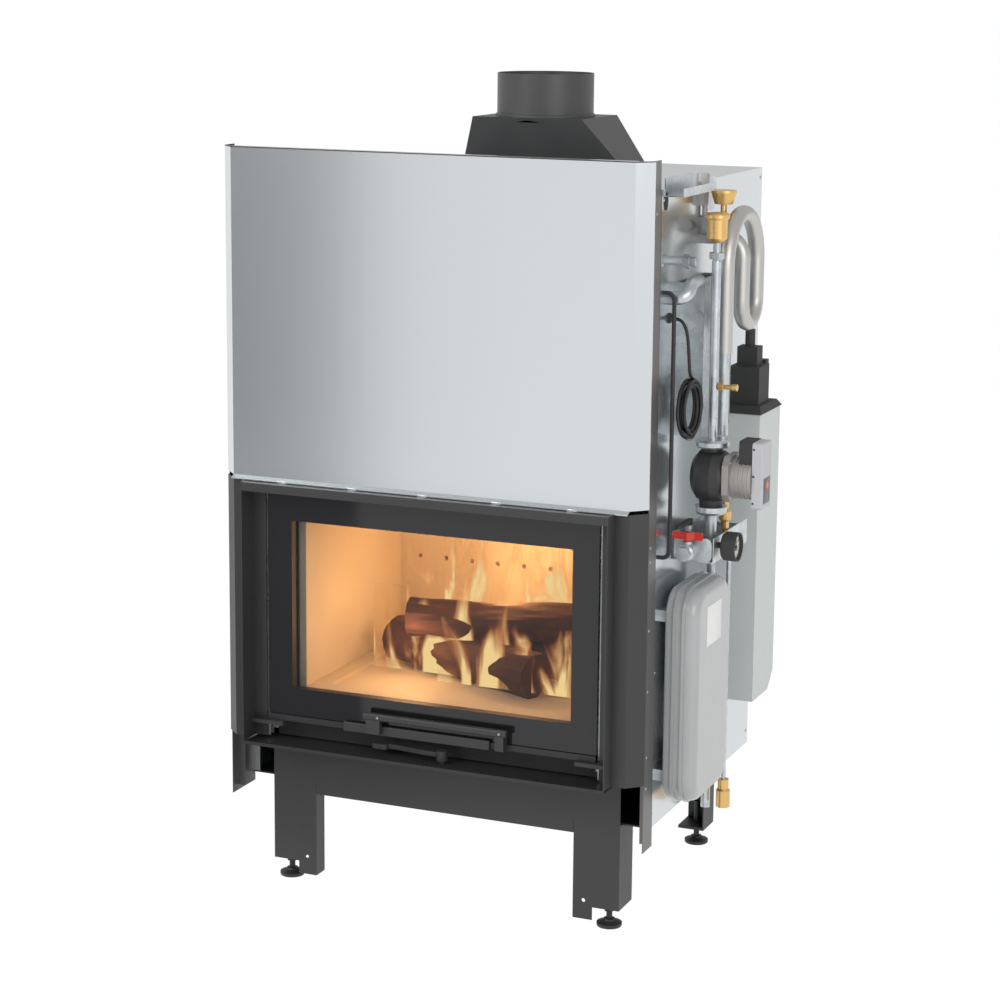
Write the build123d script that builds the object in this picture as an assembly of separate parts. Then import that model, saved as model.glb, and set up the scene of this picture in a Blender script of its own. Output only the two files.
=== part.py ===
from build123d import *
import math
import os

# Driving sizes in millimetres. X is 0 at the door's middle and grows to the hydraulic side,
# Y is 0 on the front cover's face and grows to the back, Z is 0 on the floor.
COVER_FACE = 415.0
CHAMFER = 28.0
SIDE = COVER_FACE + CHAMFER
COVER_BOTTOM = 853.0
COVER_TOP = 1497.0
PORTAL_DEPTH = 30.0
PORTAL_REVEAL = 382.0
PORTAL_BOTTOM = 320.0
PORTAL_TOP = 846.0
LEDGE = 313.0
SHEET = 2.5
THIN = 1.5

BODY_FRONT = 98.0
BODY_BACK = 715.0
BODY_BOTTOM = 212.0
BODY_TOP = 1440.0
PANEL = 430.0

LEG_INNER = 280.0
LEG_OUTER = 376.0
LEG_FRONT = 86.0
LEG_BACK = 668.0
APRON_BOTTOM = 187.0
FOOT_PLATE = 40.0
FOOT_X = 348.0
FOOT_FRONT = 110.0
FOOT_REAR = 640.0
SPINDLE = 6.0
SPINDLE_PLAY = 0.1

GLASS_HALF = 350.0
GLASS_FRONT = 18.0
GLASS_BOTTOM = 370.0
GLASS_TOP = 825.0
WINDOW_HALF = 300.0
WINDOW_BOTTOM = 424.0
WINDOW_TOP = 768.0
DOOR_BACK = 42.0
GLIDE_PLAY = 0.3

ROPE_X = 366.0
ROPE_Y = 50.0
ROPE_RADIUS = 2.0
ROPE_PLAY = 0.4
PULLEY_PITCH = 20.0
PULLEY_HALF = 6.0
PULLEY_RIM = 23.0
SHAFT_Z = 1462.0
IDLER_Z = 445.0
SHAFT_RADIUS = 6.0
AXLE_RADIUS = 5.0
BEARING_PLAY = 0.06
WEIGHT_X = (372.0, 402.0)
WEIGHT_Y = (56.0, 90.0)
WEIGHT_Z = (1020.0, 1420.0)

FLUE_Y = 590.0
FLUE_INNER = 97.0
FLUE_OUTER = 100.0
HOOD_TOP = 1539.0
FLUE_TOP = 1627.0
AIR_INNER = 60.0
AIR_OUTER = 63.0
AIR_Y = 400.0

LEVER_PIVOT = (33.0, 10.0)
LEVER_PIN = 5.0

PUMP_X = 495.0
PUMP_Y = 235.0
PUMP_Z = 887.0
CONTROL_BOX_FACE = 605.0
TRAY = ((445.0, 520.0), (182.0, 390.0), (726.0, 774.0))
LOOP_X = 500.0
LOOP_RADIUS = 16.0
GAUGE = (213.0, 756.0)
BUTTERFLY = (475.0, 160.0)
SHUTOFF = (458.0, 214.0)
STEM = 4.0

CABLE_RADIUS = 3.25
COIL_CENTRE = (472.0, 162.0, 1026.0)
COIL_MEAN = 50.0
COIL_BUNDLE = 11.0

CENTRE_X = (CONTROL_BOX_FACE - SIDE) / 2
CENTRE_Y = (BODY_BACK + 2.0 - PORTAL_DEPTH) / 2


# Helpers

def block(x, y, z):
    """Box between pairs of x, y and z limits."""
    size = Box(x[1] - x[0], y[1] - y[0], z[1] - z[0])
    return Pos((x[0] + x[1]) / 2, (y[0] + y[1]) / 2, (z[0] + z[1]) / 2) * size


def turned(profile, at, along="Z"):
    """Solid of revolution of (radius, height) pairs, standing at a point along an axis."""
    face = Plane.XZ * make_face(Polyline(*profile, close=True))
    solid = revolve(face, axis=Axis.Z)
    turn = {"X": Rot(0, 90, 0), "Y": Rot(-90, 0, 0), "Z": Rot(0, 0, 0)}[along]
    return Pos(*at) * turn * solid


def rod(radius, at, length, along="Z"):
    """Round bar from a point along an axis."""
    return turned([(0, 0), (radius, 0), (radius, length), (0, length)], at, along)


def pipe(outer, inner, at, length, along="Z"):
    """Straight tube from a point along an axis."""
    return turned([(inner, 0), (outer, 0), (outer, length), (inner, length)], at, along)


def nut(radius, at, length, along="Z"):
    """Hexagonal bar from a point along an axis."""
    solid = extrude(RegularPolygon(radius, 6), amount=length)
    turn = {"X": Rot(0, 90, 0), "Y": Rot(-90, 0, 0), "Z": Rot(0, 0, 0)}[along]
    return Pos(*at) * turn * solid


def upright(outline, z):
    """Plan outline of (x, y) points, extruded between two heights."""
    face = make_face(Polyline(*outline, close=True))
    return Pos(0, 0, z[0]) * extrude(face, amount=z[1] - z[0])


def across(outline, x):
    """Side outline of (y, z) points, extruded between two x limits."""
    face = Plane.YZ * make_face(Polyline(*outline, close=True))
    return Pos(x[0], 0, 0) * extrude(face, amount=x[1] - x[0])


def bent_tube(points, radius, bends):
    """Round bar along straight runs joined by arcs."""
    path = FilletPolyline(*points, radius=bends)
    section = Plane(origin=path @ 0, z_dir=path % 0) * Circle(radius)
    return sweep(section, path=path)


def both_sides(shape):
    """A shape with its mirror image about the door's middle."""
    return [shape, mirror(shape, about=Plane.YZ)]


def save(name, *pieces):
    """Write the solids of one node, moved so that the origin is the bottom centre."""
    solids = [solid for piece in pieces for solid in piece.solids()]
    shape = solids[0] if len(solids) == 1 else Compound(solids)
    export_step(Pos(-CENTRE_X, -CENTRE_Y, 0) * shape, f"parts/{name}.step")


# Base on levelling feet

def leg_plate(z_low, foot_y, y, front):
    """Folded corner leg with the plate that takes its foot."""
    side = block((LEG_OUTER - SHEET, LEG_OUTER), y, (z_low, BODY_BOTTOM))
    tab = block((LEG_INNER + 40, LEG_OUTER - SHEET), (y[0] + front, y[1]), (FOOT_PLATE, FOOT_PLATE + 6))
    tab -= rod(SPINDLE + SPINDLE_PLAY, (FOOT_X, foot_y, FOOT_PLATE - 1), 8)
    return side + tab


def front_leg():
    face_y = (LEG_FRONT, LEG_FRONT + SHEET)
    plate = block((LEG_INNER, LEG_OUTER), face_y, (FOOT_PLATE, BODY_BOTTOM))
    plate += block((LEG_INNER, LEG_INNER + 40), face_y, (14, FOOT_PLATE))
    plate -= rod(4, (LEG_INNER + 22, LEG_FRONT - 1, 52), 5, "Y")
    inner = block((LEG_INNER, LEG_INNER + SHEET), (LEG_FRONT + SHEET, 122), (14, BODY_BOTTOM))
    return plate + inner + leg_plate(FOOT_PLATE, FOOT_FRONT, (LEG_FRONT, 159), SHEET)


def front_base():
    legs = both_sides(front_leg())
    face_y = (LEG_FRONT, LEG_FRONT + SHEET)
    apron = block((-LEG_OUTER, LEG_OUTER), face_y, (BODY_BOTTOM, LEDGE))
    apron += block((0.5 - LEG_INNER, LEG_INNER - 0.5), face_y, (APRON_BOTTOM, BODY_BOTTOM))
    fold_y = (LEG_FRONT + SHEET, BODY_FRONT)
    apron += block((-LEG_OUTER, LEG_OUTER), fold_y, (LEDGE - SHEET, LEDGE))
    return [*legs, apron]


def base_side(side):
    """Side rail of the base with its rear leg."""
    rail_y = (LEG_FRONT + SHEET, LEG_BACK)
    web_x = (LEG_OUTER - 2 * SHEET, LEG_OUTER - SHEET)
    flange_x = (LEG_OUTER - 34, LEG_OUTER - 2 * SHEET)
    rail = block(web_x, rail_y, (APRON_BOTTOM, BODY_BOTTOM))
    rail += block(flange_x, rail_y, (APRON_BOTTOM, APRON_BOTTOM + SHEET))
    rail += block(flange_x, rail_y, (BODY_BOTTOM - SHEET, BODY_BOTTOM))
    leg_y = (600, LEG_BACK)
    rail += leg_plate(FOOT_PLATE, FOOT_REAR, leg_y, 0)
    back_x = (LEG_INNER + 40, LEG_OUTER - SHEET)
    rail += block(back_x, (LEG_BACK - SHEET, LEG_BACK), (FOOT_PLATE, APRON_BOTTOM))
    return rail if side > 0 else mirror(rail, about=Plane.YZ)


def levelling_foot(x, y):
    """Disc, spindle and lock nut of one foot."""
    disc = [(0, 0), (24, 0), (25, 2), (25, 7), (13, 12), (11, 15), (SPINDLE, 15), (SPINDLE, 92), (0, 92)]
    return turned(disc, (x, y, 0)) + nut(11, (x, y, FOOT_PLATE - 9.3), 9)


# Steel body

def floor_plate():
    plate = block((-PANEL, PANEL), (BODY_FRONT, BODY_BACK), (BODY_BOTTOM, BODY_BOTTOM + 3))
    return plate - rod(AIR_OUTER + 0.2, (0, AIR_Y, BODY_BOTTOM - 1), 6)


def side_panel():
    """Side sheet with narrow folds at the front and back."""
    height = (BODY_BOTTOM + 3, BODY_TOP - 3)
    fold_x = (PANEL - 15, PANEL)
    panel = block((PANEL, PANEL + 2), (BODY_FRONT, BODY_BACK), (BODY_BOTTOM, BODY_TOP))
    panel += block(fold_x, (BODY_FRONT, BODY_FRONT + 2), height)
    return panel + block(fold_x, (BODY_BACK - 2, BODY_BACK), height)


def back_panel():
    """Rear sheet with two pressed stiffening ribs."""
    panel = block((-PANEL, PANEL), (BODY_BACK, BODY_BACK + 2), (BODY_BOTTOM, BODY_TOP))
    rib = across([(BODY_BACK, 300), (BODY_BACK - 8, 308), (BODY_BACK - 8, 332), (BODY_BACK, 340)], (-380, 380))
    return panel + rib + Pos(0, 0, 900) * rib


def top_plate():
    plate = block((-PANEL, PANEL), (BODY_FRONT, BODY_BACK), (BODY_TOP - 3, BODY_TOP))
    return plate - block((-168, 168), (584, 704), (BODY_TOP - 4, BODY_TOP + 1))


def firebox_front():
    """Front frame of the firebox, with the opening that the door's seal lies on."""
    frame = block((-345, 345), (48, 52), (LEDGE + 5, BODY_TOP - 3))
    frame -= block((-298, 298), (47, 53), (420, 776))
    for side in (-1, 1):
        inner, outer = sorted((side * 341, side * 345))
        frame += block((inner, outer), (52, BODY_FRONT), (LEDGE + 5, BODY_TOP - 3))
    return frame


def tank(x, y, z):
    """Closed welded tank with 3 mm walls."""
    wall = 3
    hollow = block((x[0] + wall, x[1] - wall), (y[0] + wall, y[1] - wall), (z[0] + wall, z[1] - wall))
    return block(x, y, z) - hollow


def water_jacket():
    """Tanks at both sides and at the back, joined by tubes across the smoke's way."""
    height = (330, 1400)
    sides = both_sides(tank((316, 340), (56, 532), height))
    rear = tank((-340, 340), (532.5, 560), height)
    tubes = []
    for row, z in enumerate((980, 1110, 1240)):
        for place in range(3):
            y = 140 + 130 * place + 65 * (row % 2)
            tubes.append(pipe(25, 22, (-316, y, z), 632, "X"))
    return [*sides, rear, *tubes]


def firebrick_lining():
    """Fireclay slabs: two sides, back with a row of air holes, and a hearth slab with a raised rim."""
    sides = both_sides(block((286, 314), (58, 530), (420, 780)))
    back = block((-285.5, 285.5), (500, 530), (420, 780))
    for hole in range(9):
        back -= rod(5, (60 * (hole - 4), 499, 600), 32, "Y")
    hearth = block((-314, 314), (58, 530), (390, 419.5))
    hearth -= block((-250, 250), (100, 460), (412, 421))
    return [*sides, back, hearth]


def baffle():
    """Fireclay plate on the side slabs, bevelled where the smoke turns round it."""
    outline = [(150, 780), (500, 780), (500, 806), (176, 806), (150, 792)]
    return across(outline, (-312, 312))


def air_collar():
    """Spigot for combustion air, with a flange on the floor plate."""
    flange = BODY_BOTTOM + 3
    profile = [
        (AIR_INNER, 150), (AIR_OUTER, 150), (AIR_OUTER, flange), (80, flange),
        (80, flange + 3), (AIR_INNER, flange + 3),
    ]
    return turned(profile, (0, AIR_Y, 0))


def hood_form(grow, top):
    """Tapered form between the smoke outlet and the flue's top plate."""
    low = Plane.XY.offset(BODY_TOP) * Pos(0, 643) * Rectangle(354 + grow, 140 + grow)
    high = Plane.XY.offset(top) * Pos(0, FLUE_Y) * Rectangle(240 + grow, 204 + grow)
    return loft([low.face(), high.face()])


def smoke_hood():
    """Welded hood that leans forward from the smoke outlet to the flue."""
    wall = 3
    shell = hood_form(0, HOOD_TOP) - hood_form(-2 * wall, HOOD_TOP - wall)
    return shell - rod(FLUE_INNER, (0, FLUE_Y, HOOD_TOP - 10), 20)


def flue_collar():
    """Flue spigot with a rolled bead near its foot."""
    height = FLUE_TOP - HOOD_TOP
    profile = [
        (FLUE_INNER, 0), (FLUE_OUTER + 4, 0), (FLUE_OUTER + 4, 3), (FLUE_OUTER, 3),
        (FLUE_OUTER, height), (FLUE_INNER, height),
    ]
    return turned(profile, (0, FLUE_Y, HOOD_TOP))


# Front

def upper_cover():
    """Folded cover sheet with chamfered edges, a top fold and a flared lower edge."""
    inner = COVER_FACE - 0.6
    outline = [
        (-SIDE, CHAMFER + 2), (-SIDE, CHAMFER), (-COVER_FACE, 0), (COVER_FACE, 0), (SIDE, CHAMFER),
        (SIDE, CHAMFER + 2), (SIDE - THIN, CHAMFER + 2), (SIDE - THIN, CHAMFER + 0.6),
        (inner, THIN), (-inner, THIN), (THIN - SIDE, CHAMFER + 0.6), (THIN - SIDE, CHAMFER + 2),
    ]
    sheet = upright(outline, (COVER_BOTTOM, COVER_TOP))
    sheet += block((-inner, inner), (THIN, 18), (COVER_TOP - THIN, COVER_TOP))
    flare = [(0, COVER_BOTTOM), (-12, 848), (-12, 846.5), (THIN, 851.5), (THIN, COVER_BOTTOM)]
    return sheet + across(flare, (-COVER_FACE, COVER_FACE))


def side_rail():
    """Upright edge profile: tapered outer strip, web and the leg that holds the side panel."""
    low = 185
    strip = [(31, low), (82, low), (63, COVER_TOP), (31, COVER_TOP)]
    rail = across(strip, (440.5, 442))
    rail += block((426, 440.5), (56, 58.5), (low + 10, BODY_TOP))
    return rail + block((426, 428.5), (58.5, BODY_FRONT), (low + 10, BODY_TOP))


def portal_pillar():
    """Folded pillar beside the door, with its projecting lip and the stop that the door rests on."""
    lip = PORTAL_REVEAL + 2
    outline = [
        (355, 20), (PORTAL_REVEAL, 20), (PORTAL_REVEAL, -PORTAL_DEPTH), (lip, -PORTAL_DEPTH), (lip + 4, 0),
        (COVER_FACE, 0), (SIDE, CHAMFER), (SIDE, CHAMFER + 2), (SIDE - 2, CHAMFER + 2),
        (SIDE - 2, CHAMFER + 0.8), (COVER_FACE - 0.8, 2), (lip + 1, 2), (lip, 22), (355, 22),
    ]
    pillar = upright(outline, (PORTAL_BOTTOM, PORTAL_TOP))
    return pillar + block((312, 381.7), (2, 20), (350, 357.7))


def portal_head():
    """Hollow head rail between the pillars."""
    deep = -PORTAL_DEPTH
    outline = [
        (deep, 828), (14, 828), (14, 830), (deep + 2, 830), (deep + 2, 843), (0, 843), (0, 845), (deep, 845),
    ]
    return across(outline, (-PORTAL_REVEAL, PORTAL_REVEAL))


def portal_ledge():
    """Ledge below the door, with the hole for the air lever's pin."""
    deep = -PORTAL_DEPTH
    outline = [
        (deep, LEDGE), (LEG_FRONT, LEDGE), (LEG_FRONT, LEDGE + SHEET), (deep + 2, LEDGE + SHEET),
        (deep + 2, 319.7), (deep, 319.7),
    ]
    ledge = across(outline, (-PORTAL_REVEAL - 2, PORTAL_REVEAL + 2))
    return ledge - rod(LEVER_PIN + SPINDLE_PLAY, (*LEVER_PIVOT, LEDGE - 1), 5)


def air_lever():
    """Flat lever with a curved grip, on the pin that turns the air slide."""
    x, y = LEVER_PIVOT
    pin = turned([(0, 312), (LEVER_PIN, 312), (LEVER_PIN, 322), (11, 322), (11, 342), (0, 342)], (x, y, 0))
    centre = [(x, y), (x - 62, y + 1), (x - 98, y + 6), (x - 140, y + 2)]
    path = Spline(*centre)
    bar = sweep(Plane(origin=path @ 0, z_dir=path % 0) * Rectangle(5, 9), path=path)
    grip = Pos(x - 134, y + 2, 0) * extrude(SlotOverall(34, 14), amount=10)
    return pin + Pos(0, 0, 334) * bar + Pos(0, 0, 329) * grip


# Door

def door_glass():
    return block((-GLASS_HALF, GLASS_HALF), (GLASS_FRONT, GLASS_FRONT + 4), (GLASS_BOTTOM, GLASS_TOP))


def door_frame():
    """Frame of folded sheet behind the glass, open at the back, and the rail under the glass."""
    outer = 345
    y = (GLASS_FRONT + 4, DOOR_BACK)
    frame = block((-outer, outer), y, (362, 822))
    channel = block((3 - outer, outer - 3), (y[0] + 3, y[1] + 1), (365, 819))
    rim = 3
    core = block(
        (-WINDOW_HALF - rim, WINDOW_HALF + rim), y, (WINDOW_BOTTOM - rim, WINDOW_TOP + rim)
    )
    window = block((-WINDOW_HALF, WINDOW_HALF), (0, 60), (WINDOW_BOTTOM, WINDOW_TOP))
    rail = across([(14, 358), (DOOR_BACK, 358), (DOOR_BACK, 360), (16, 360), (16, 369.7), (14, 369.7)],
                  (-GLASS_HALF, GLASS_HALF))
    return [frame - (channel - core) - window, rail]


def door_handle():
    """Grip plate on the rail, with the bar that stands on two posts in front of the glass."""
    grip = block((-179, 133), (8, 14), (355, 374))
    grip = fillet(grip.edges().filter_by(Axis.X), 1.5)
    bar = block((-130, 173), (-6, 6), (388, 402))
    bar = fillet(bar.edges().filter_by(Axis.X), 4)
    left = block((-125, -95), (-4, 7.7), (360, 390))
    right = block((150, 168), (-4, 14), (360, 390))
    return [grip, bar + left + right]


def door_fittings():
    """Glides that run in the side channels, and the arms that grip the lift ropes."""
    glides = []
    for z in (380, 740):
        glide = block((345, 357.5 - GLIDE_PLAY), (26 + GLIDE_PLAY, 38 - GLIDE_PLAY), (z, z + 60))
        glides += both_sides(glide)
    rope_side = ROPE_X - ROPE_RADIUS - GLIDE_PLAY
    arm = block((335, rope_side), (DOOR_BACK, DOOR_BACK + 2), (790, 815))
    arm += block((360, rope_side), (27, DOOR_BACK), (790, 815))
    return [*glides, *both_sides(arm)]


# Door lift

def pulley_profile(bore):
    """Half section of a grooved pulley, from its bore to its rim."""
    groove = PULLEY_PITCH - ROPE_RADIUS - ROPE_PLAY
    cheek = ROPE_RADIUS + ROPE_PLAY
    return [
        (bore, -PULLEY_HALF), (PULLEY_RIM, -PULLEY_HALF), (PULLEY_RIM, -cheek - 1), (groove, -cheek),
        (groove, cheek), (PULLEY_RIM, cheek + 1), (PULLEY_RIM, PULLEY_HALF), (bore, PULLEY_HALF),
    ]


def lift_shaft():
    """Shaft across the cover's top that keeps both ropes in step, with its two pulleys."""
    end = ROPE_X + 9
    shaft = rod(SHAFT_RADIUS, (-end, ROPE_Y, SHAFT_Z), 2 * end, "X")
    for side in (-1, 1):
        shaft += turned(pulley_profile(0), (side * ROPE_X, ROPE_Y, SHAFT_Z), "X")
    return shaft


def idler(side):
    """Lower pulley of one rope, which turns on a fixed axle."""
    return turned(pulley_profile(AXLE_RADIUS + BEARING_PLAY), (side * ROPE_X, ROPE_Y, IDLER_Z), "X")


def counterweight(side):
    """Steel bar with the jaw that grips the rope's rear run."""
    bar = block(WEIGHT_X, WEIGHT_Y, WEIGHT_Z)
    bar = chamfer(bar.edges().filter_by(Axis.Z), 2)
    jaw_x = (ROPE_X + ROPE_RADIUS + GLIDE_PLAY, WEIGHT_X[0])
    bar += block(jaw_x, (62, 78), (WEIGHT_Z[1] - 40, WEIGHT_Z[1] - 10))
    return bar if side > 0 else mirror(bar, about=Plane.YZ)


def lift_guides():
    """Channels for the door's glides and angles for the counterweights."""
    height = (LEDGE + 8, 1290)
    channel = block((350.5, 359.5), (24.3, 39.7), height)
    channel -= block((350, 357.5), (26, 38), (height[0] - 1, height[1] + 1))
    for z in (332, 1262):
        channel += block((341, 359.5), (39.7, 48), (z, z + 18))
    play = GLIDE_PLAY
    angle = block((WEIGHT_X[1] + play, WEIGHT_X[1] + 2), (54, WEIGHT_Y[1] + 2), (560, 1430))
    angle += block((WEIGHT_X[1] + play, 426), (WEIGHT_Y[1] + play, WEIGHT_Y[1] + 2), (560, 1430))
    return [*both_sides(channel), *both_sides(angle)]


def lift_rope():
    """Endless wire rope over the upper and lower pulleys."""
    front = ROPE_Y - PULLEY_PITCH
    rear = ROPE_Y + PULLEY_PITCH
    with BuildLine(Plane.YZ) as loop:
        Line((front, IDLER_Z), (front, SHAFT_Z))
        ThreePointArc((front, SHAFT_Z), (ROPE_Y, SHAFT_Z + PULLEY_PITCH), (rear, SHAFT_Z))
        Line((rear, SHAFT_Z), (rear, IDLER_Z))
        ThreePointArc((rear, IDLER_Z), (ROPE_Y, IDLER_Z - PULLEY_PITCH), (front, IDLER_Z))
    path = loop.wire()
    section = Plane(origin=path @ 0, z_dir=path % 0) * Circle(ROPE_RADIUS)
    return Pos(ROPE_X, 0, 0) * sweep(section, path=path)


def lift_brackets():
    """Bearing angles of the shaft, and the plates with the idlers' axles."""
    bearing = block((350, 354), (34, 120), (BODY_TOP, 1482))
    bearing += block((354, 382), (BODY_FRONT, 120), (BODY_TOP, BODY_TOP + 3))
    bearing -= rod(SHAFT_RADIUS + BEARING_PLAY, (349, ROPE_Y, SHAFT_Z), 6, "X")
    plate = block((345, 349), (44.5, BODY_FRONT), (IDLER_Z - 20, IDLER_Z + 20))
    plate += rod(AXLE_RADIUS, (349, ROPE_Y, IDLER_Z), 25, "X")
    return [*both_sides(bearing), *both_sides(plate)]


# Hydraulic side

def mounting_brackets():
    """Zinc-plated channel behind the pipes, shelf at the top, and straps behind the vessel."""
    wall = PANEL + 2
    height = (960, 1255)
    channel = block((wall, 475), (226, 228), height)
    channel += block((wall, 475), (398, 400), height)
    channel += block((447, 449), (228, 398), height)
    shelf = block((wall, 470), (110, 300), (1426, 1428))
    shelf += block((468, 470), (110, 300), (1428, 1442))
    shelf += block((wall, wall + 2), (110, 300), (1428, 1460))
    flap = block((wall, wall + 2), (356, 402), (1380, 1446))
    flap = fillet(flap.edges().filter_by(Axis.X), 10)
    straps = [block((wall, 446), (130, 318), (z, z + 22)) for z in (300, 616)]
    return [channel, shelf, flap, *straps]


def riser_pipe():
    """Riser from the pump to the air vent with its nuts, and the pipe under the pump."""
    top = PUMP_Z + 70
    profile = [(0, top), (9, top), (9, 1296), (7, 1302), (7, 1332), (0, 1332)]
    riser = turned(profile, (PUMP_X, PUMP_Y, 0)) + nut(15, (PUMP_X, PUMP_Y, 1302), 12)
    upper = turned([(0, 0), (31, 0), (33, 3), (33, 11), (29, 15), (0, 15)], (PUMP_X, PUMP_Y, top - 15))
    lower = turned([(0, 0), (26, 0), (31, 5), (31, 15), (0, 15)], (PUMP_X, PUMP_Y, PUMP_Z - 75))
    tail = rod(12, (PUMP_X, PUMP_Y, TRAY[2][0] + 2), PUMP_Z - 75 - TRAY[2][0] - 2)
    return [riser + upper, lower + tail]


def connecting_pipes():
    """White return pipe, front connection pipe, and the two pipes beside the vessel."""
    white = rod(11, (LOOP_X, 279, 958), 158.7)
    front = bent_tube(
        [(432, 137, 1236), (470, 137, 1236), (470, 165, 1262), (470, 208, 1262)], 13, [20, 20]
    )
    tee = rod(9, (432, 170, 1302), 44, "X") + nut(14, (452, 170, 1302), 12, "X")
    vessel = rod(4.5, (LOOP_X, 341, 250), TRAY[2][0] - 250)
    drain = rod(9, (462, 345, 186), TRAY[2][0] - 186)
    return [white, front, tee, vessel, drain]


def air_vent(at, top_radius):
    """Automatic air vent: tapered cup with a rounded cap."""
    profile = [
        (0, 0), (8, 0), (top_radius - 8, 5), (top_radius - 4, 9), (top_radius - 3, 44),
        (top_radius, 48), (top_radius, 54), (top_radius - 3, 57), (0, 57),
    ]
    return turned(profile, at)


def brass_fittings():
    """Air vents, filling tap on the riser's side, safety valve, and the unions at the bottom."""
    front_vent = air_vent((PUMP_X, PUMP_Y, 1332), 23)
    cup = [(0, 0), (6, 0), (6, 22), (18, 24), (25, 46), (25, 50), (0, 50)]
    rear_vent = turned(cup, (470, 347, 1372))
    tap_profile = [(0, 0), (7, 0), (7, 6), (4.5, 8), (4.5, 26), (6.5, 28), (6.5, 38), (0, 38)]
    tap = turned(tap_profile, (PUMP_X + 9, PUMP_Y, 1059), "X") + nut(8, (PUMP_X + 12, PUMP_Y, 1059), 7, "X")
    safety_profile = [(0, 0), (8, 0), (8, 14), (12, 18), (12, 34), (7, 40), (7, 54), (0, 54)]
    safety = turned(safety_profile, (508, 285, 774))
    safety += rod(5, (508, 285, TRAY[2][0] + 2), 774 - TRAY[2][0] - 2)
    union_profile = [(9, 0), (14, 0), (14, 34), (11, 38), (11, 57), (0, 57), (0, 30), (9, 30)]
    union = turned(union_profile, (LOOP_X, 341, 193))
    return [front_vent, rear_vent, tap, safety, union]


def heating_loop():
    """Wide expansion loop of pewter-coloured pipe, which turns into the body."""
    points = [
        (LOOP_X, 279, 1117), (LOOP_X, 279, 1376), (LOOP_X, 470, 1376), (LOOP_X, 470, 1159),
        (LOOP_X, 378, 1159), (LOOP_X, 378, 1330), (PANEL + 2, 378, 1330),
    ]
    return bent_tube(points, LOOP_RADIUS, [95, 95, 45.5, 45.5, 40])


def pump_housing():
    """Cast volute on the pipe's line, hollow for its impeller."""
    volute = turned(
        [(0, -32), (36, -32), (48, -22), (52, -6), (52, 10), (47, 26), (42, 33), (0, 33)],
        (PUMP_X, PUMP_Y, PUMP_Z), "X",
    )
    neck = turned(
        [(0, -60), (22, -60), (24, -46), (32, -30), (32, 30), (23, 42), (20, 55), (0, 55)],
        (PUMP_X, PUMP_Y, PUMP_Z),
    )
    chamber = rod(38, (PUMP_X - 20, PUMP_Y, PUMP_Z), 54, "X")
    return volute + neck - chamber


def pump_motor():
    """Motor flange with clipped corners and the motor's round body, hollow for its rotor."""
    half = 44
    clip = 16
    points = [
        (-half, clip - half), (clip - half, -half), (half - clip, -half), (half, clip - half),
        (half, half - clip), (half - clip, half), (clip - half, half), (-half, half - clip),
    ]
    outline = [(PUMP_Y + y, PUMP_Z + z) for y, z in points]
    motor = across(outline, (PUMP_X + 34, PUMP_X + 47))
    motor += rod(39, (PUMP_X + 47, PUMP_Y, PUMP_Z), 41, "X")
    for ring in range(4):
        motor += rod(41, (PUMP_X + 52 + 9 * ring, PUMP_Y, PUMP_Z), 3, "X")
    motor -= rod(23, (PUMP_X + 33, PUMP_Y, PUMP_Z), 49, "X")
    return motor - rod(AXLE_RADIUS + BEARING_PLAY, (PUMP_X + 80, PUMP_Y, PUMP_Z), 6, "X")


def pump_rotor():
    """Impeller, can rotor and shaft, which turn as one."""
    start = PUMP_X - 14
    profile = [
        (0, 0), (12, 0), (34, 5), (34, 16), (12, 18), (AXLE_RADIUS, 18), (AXLE_RADIUS, 52),
        (20, 52), (20, 90), (AXLE_RADIUS, 90), (AXLE_RADIUS, 99), (0, 99),
    ]
    return turned(profile, (start, PUMP_Y, PUMP_Z), "X")


def pump_terminal_block():
    cover = block((PUMP_X + 62, PUMP_X + 88.5), (208, 262), (PUMP_Z + 8, 962))
    cover = fillet(cover.edges().filter_by(Axis.X), 5)
    return cover - rod(41.3, (PUMP_X + 50, PUMP_Y, PUMP_Z), 50, "X")


def pump_control_box():
    """Flat control housing on the pump's end, with a recessed operating field."""
    housing = block((PUMP_X + 89, CONTROL_BOX_FACE), (206, 264), (832, 960))
    housing = fillet(housing.edges().filter_by(Axis.X), 6)
    housing = fillet(housing.faces().sort_by(Axis.X)[-1].edges(), 3)
    return housing - block((CONTROL_BOX_FACE - 1, CONTROL_BOX_FACE + 1), (214, 256), (842, 892))


def drain_tray():
    """Folded tray under the pump group, closed in front by a rounded end."""
    x, y, z = TRAY
    floor = block((PANEL + 2, x[1]), y, (z[0], z[0] + 2))
    floor += block((x[1] - 2, x[1]), y, z)
    floor += block((PANEL + 2, PANEL + 4), y, z)
    floor += block((PANEL + 2, x[1]), (y[1] - 2, y[1]), (z[0], z[1] - 12))
    face = RectangleRounded(76, 46, 12)
    front = Pos(478, y[0], z[0] + 24) * Rot(90, 0, 0) * extrude(face, amount=-2)
    return floor + front


def valve_bodies():
    """Ball valve in front of the tray and the upright shut-off valve in it."""
    x, y = BUTTERFLY
    ball = turned([(0, 0), (13, 0), (13, 10), (17, 14), (17, 34), (13, 38), (13, 52), (0, 52)], (x, 130, 750), "Y")
    ball += nut(15, (x, 130, 750), 9, "Y")
    ball += rod(9, (x, y, 750), 20)
    ball -= rod(STEM + BEARING_PLAY, (x, y, 756), 20)
    x, y = SHUTOFF
    angle = turned([(0, 728), (13, 728), (13, 752), (9, 758), (9, 790), (0, 790)], (x, y, 0))
    angle -= rod(STEM + BEARING_PLAY, (x, y, 772), 20)
    return [ball, angle]


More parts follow.
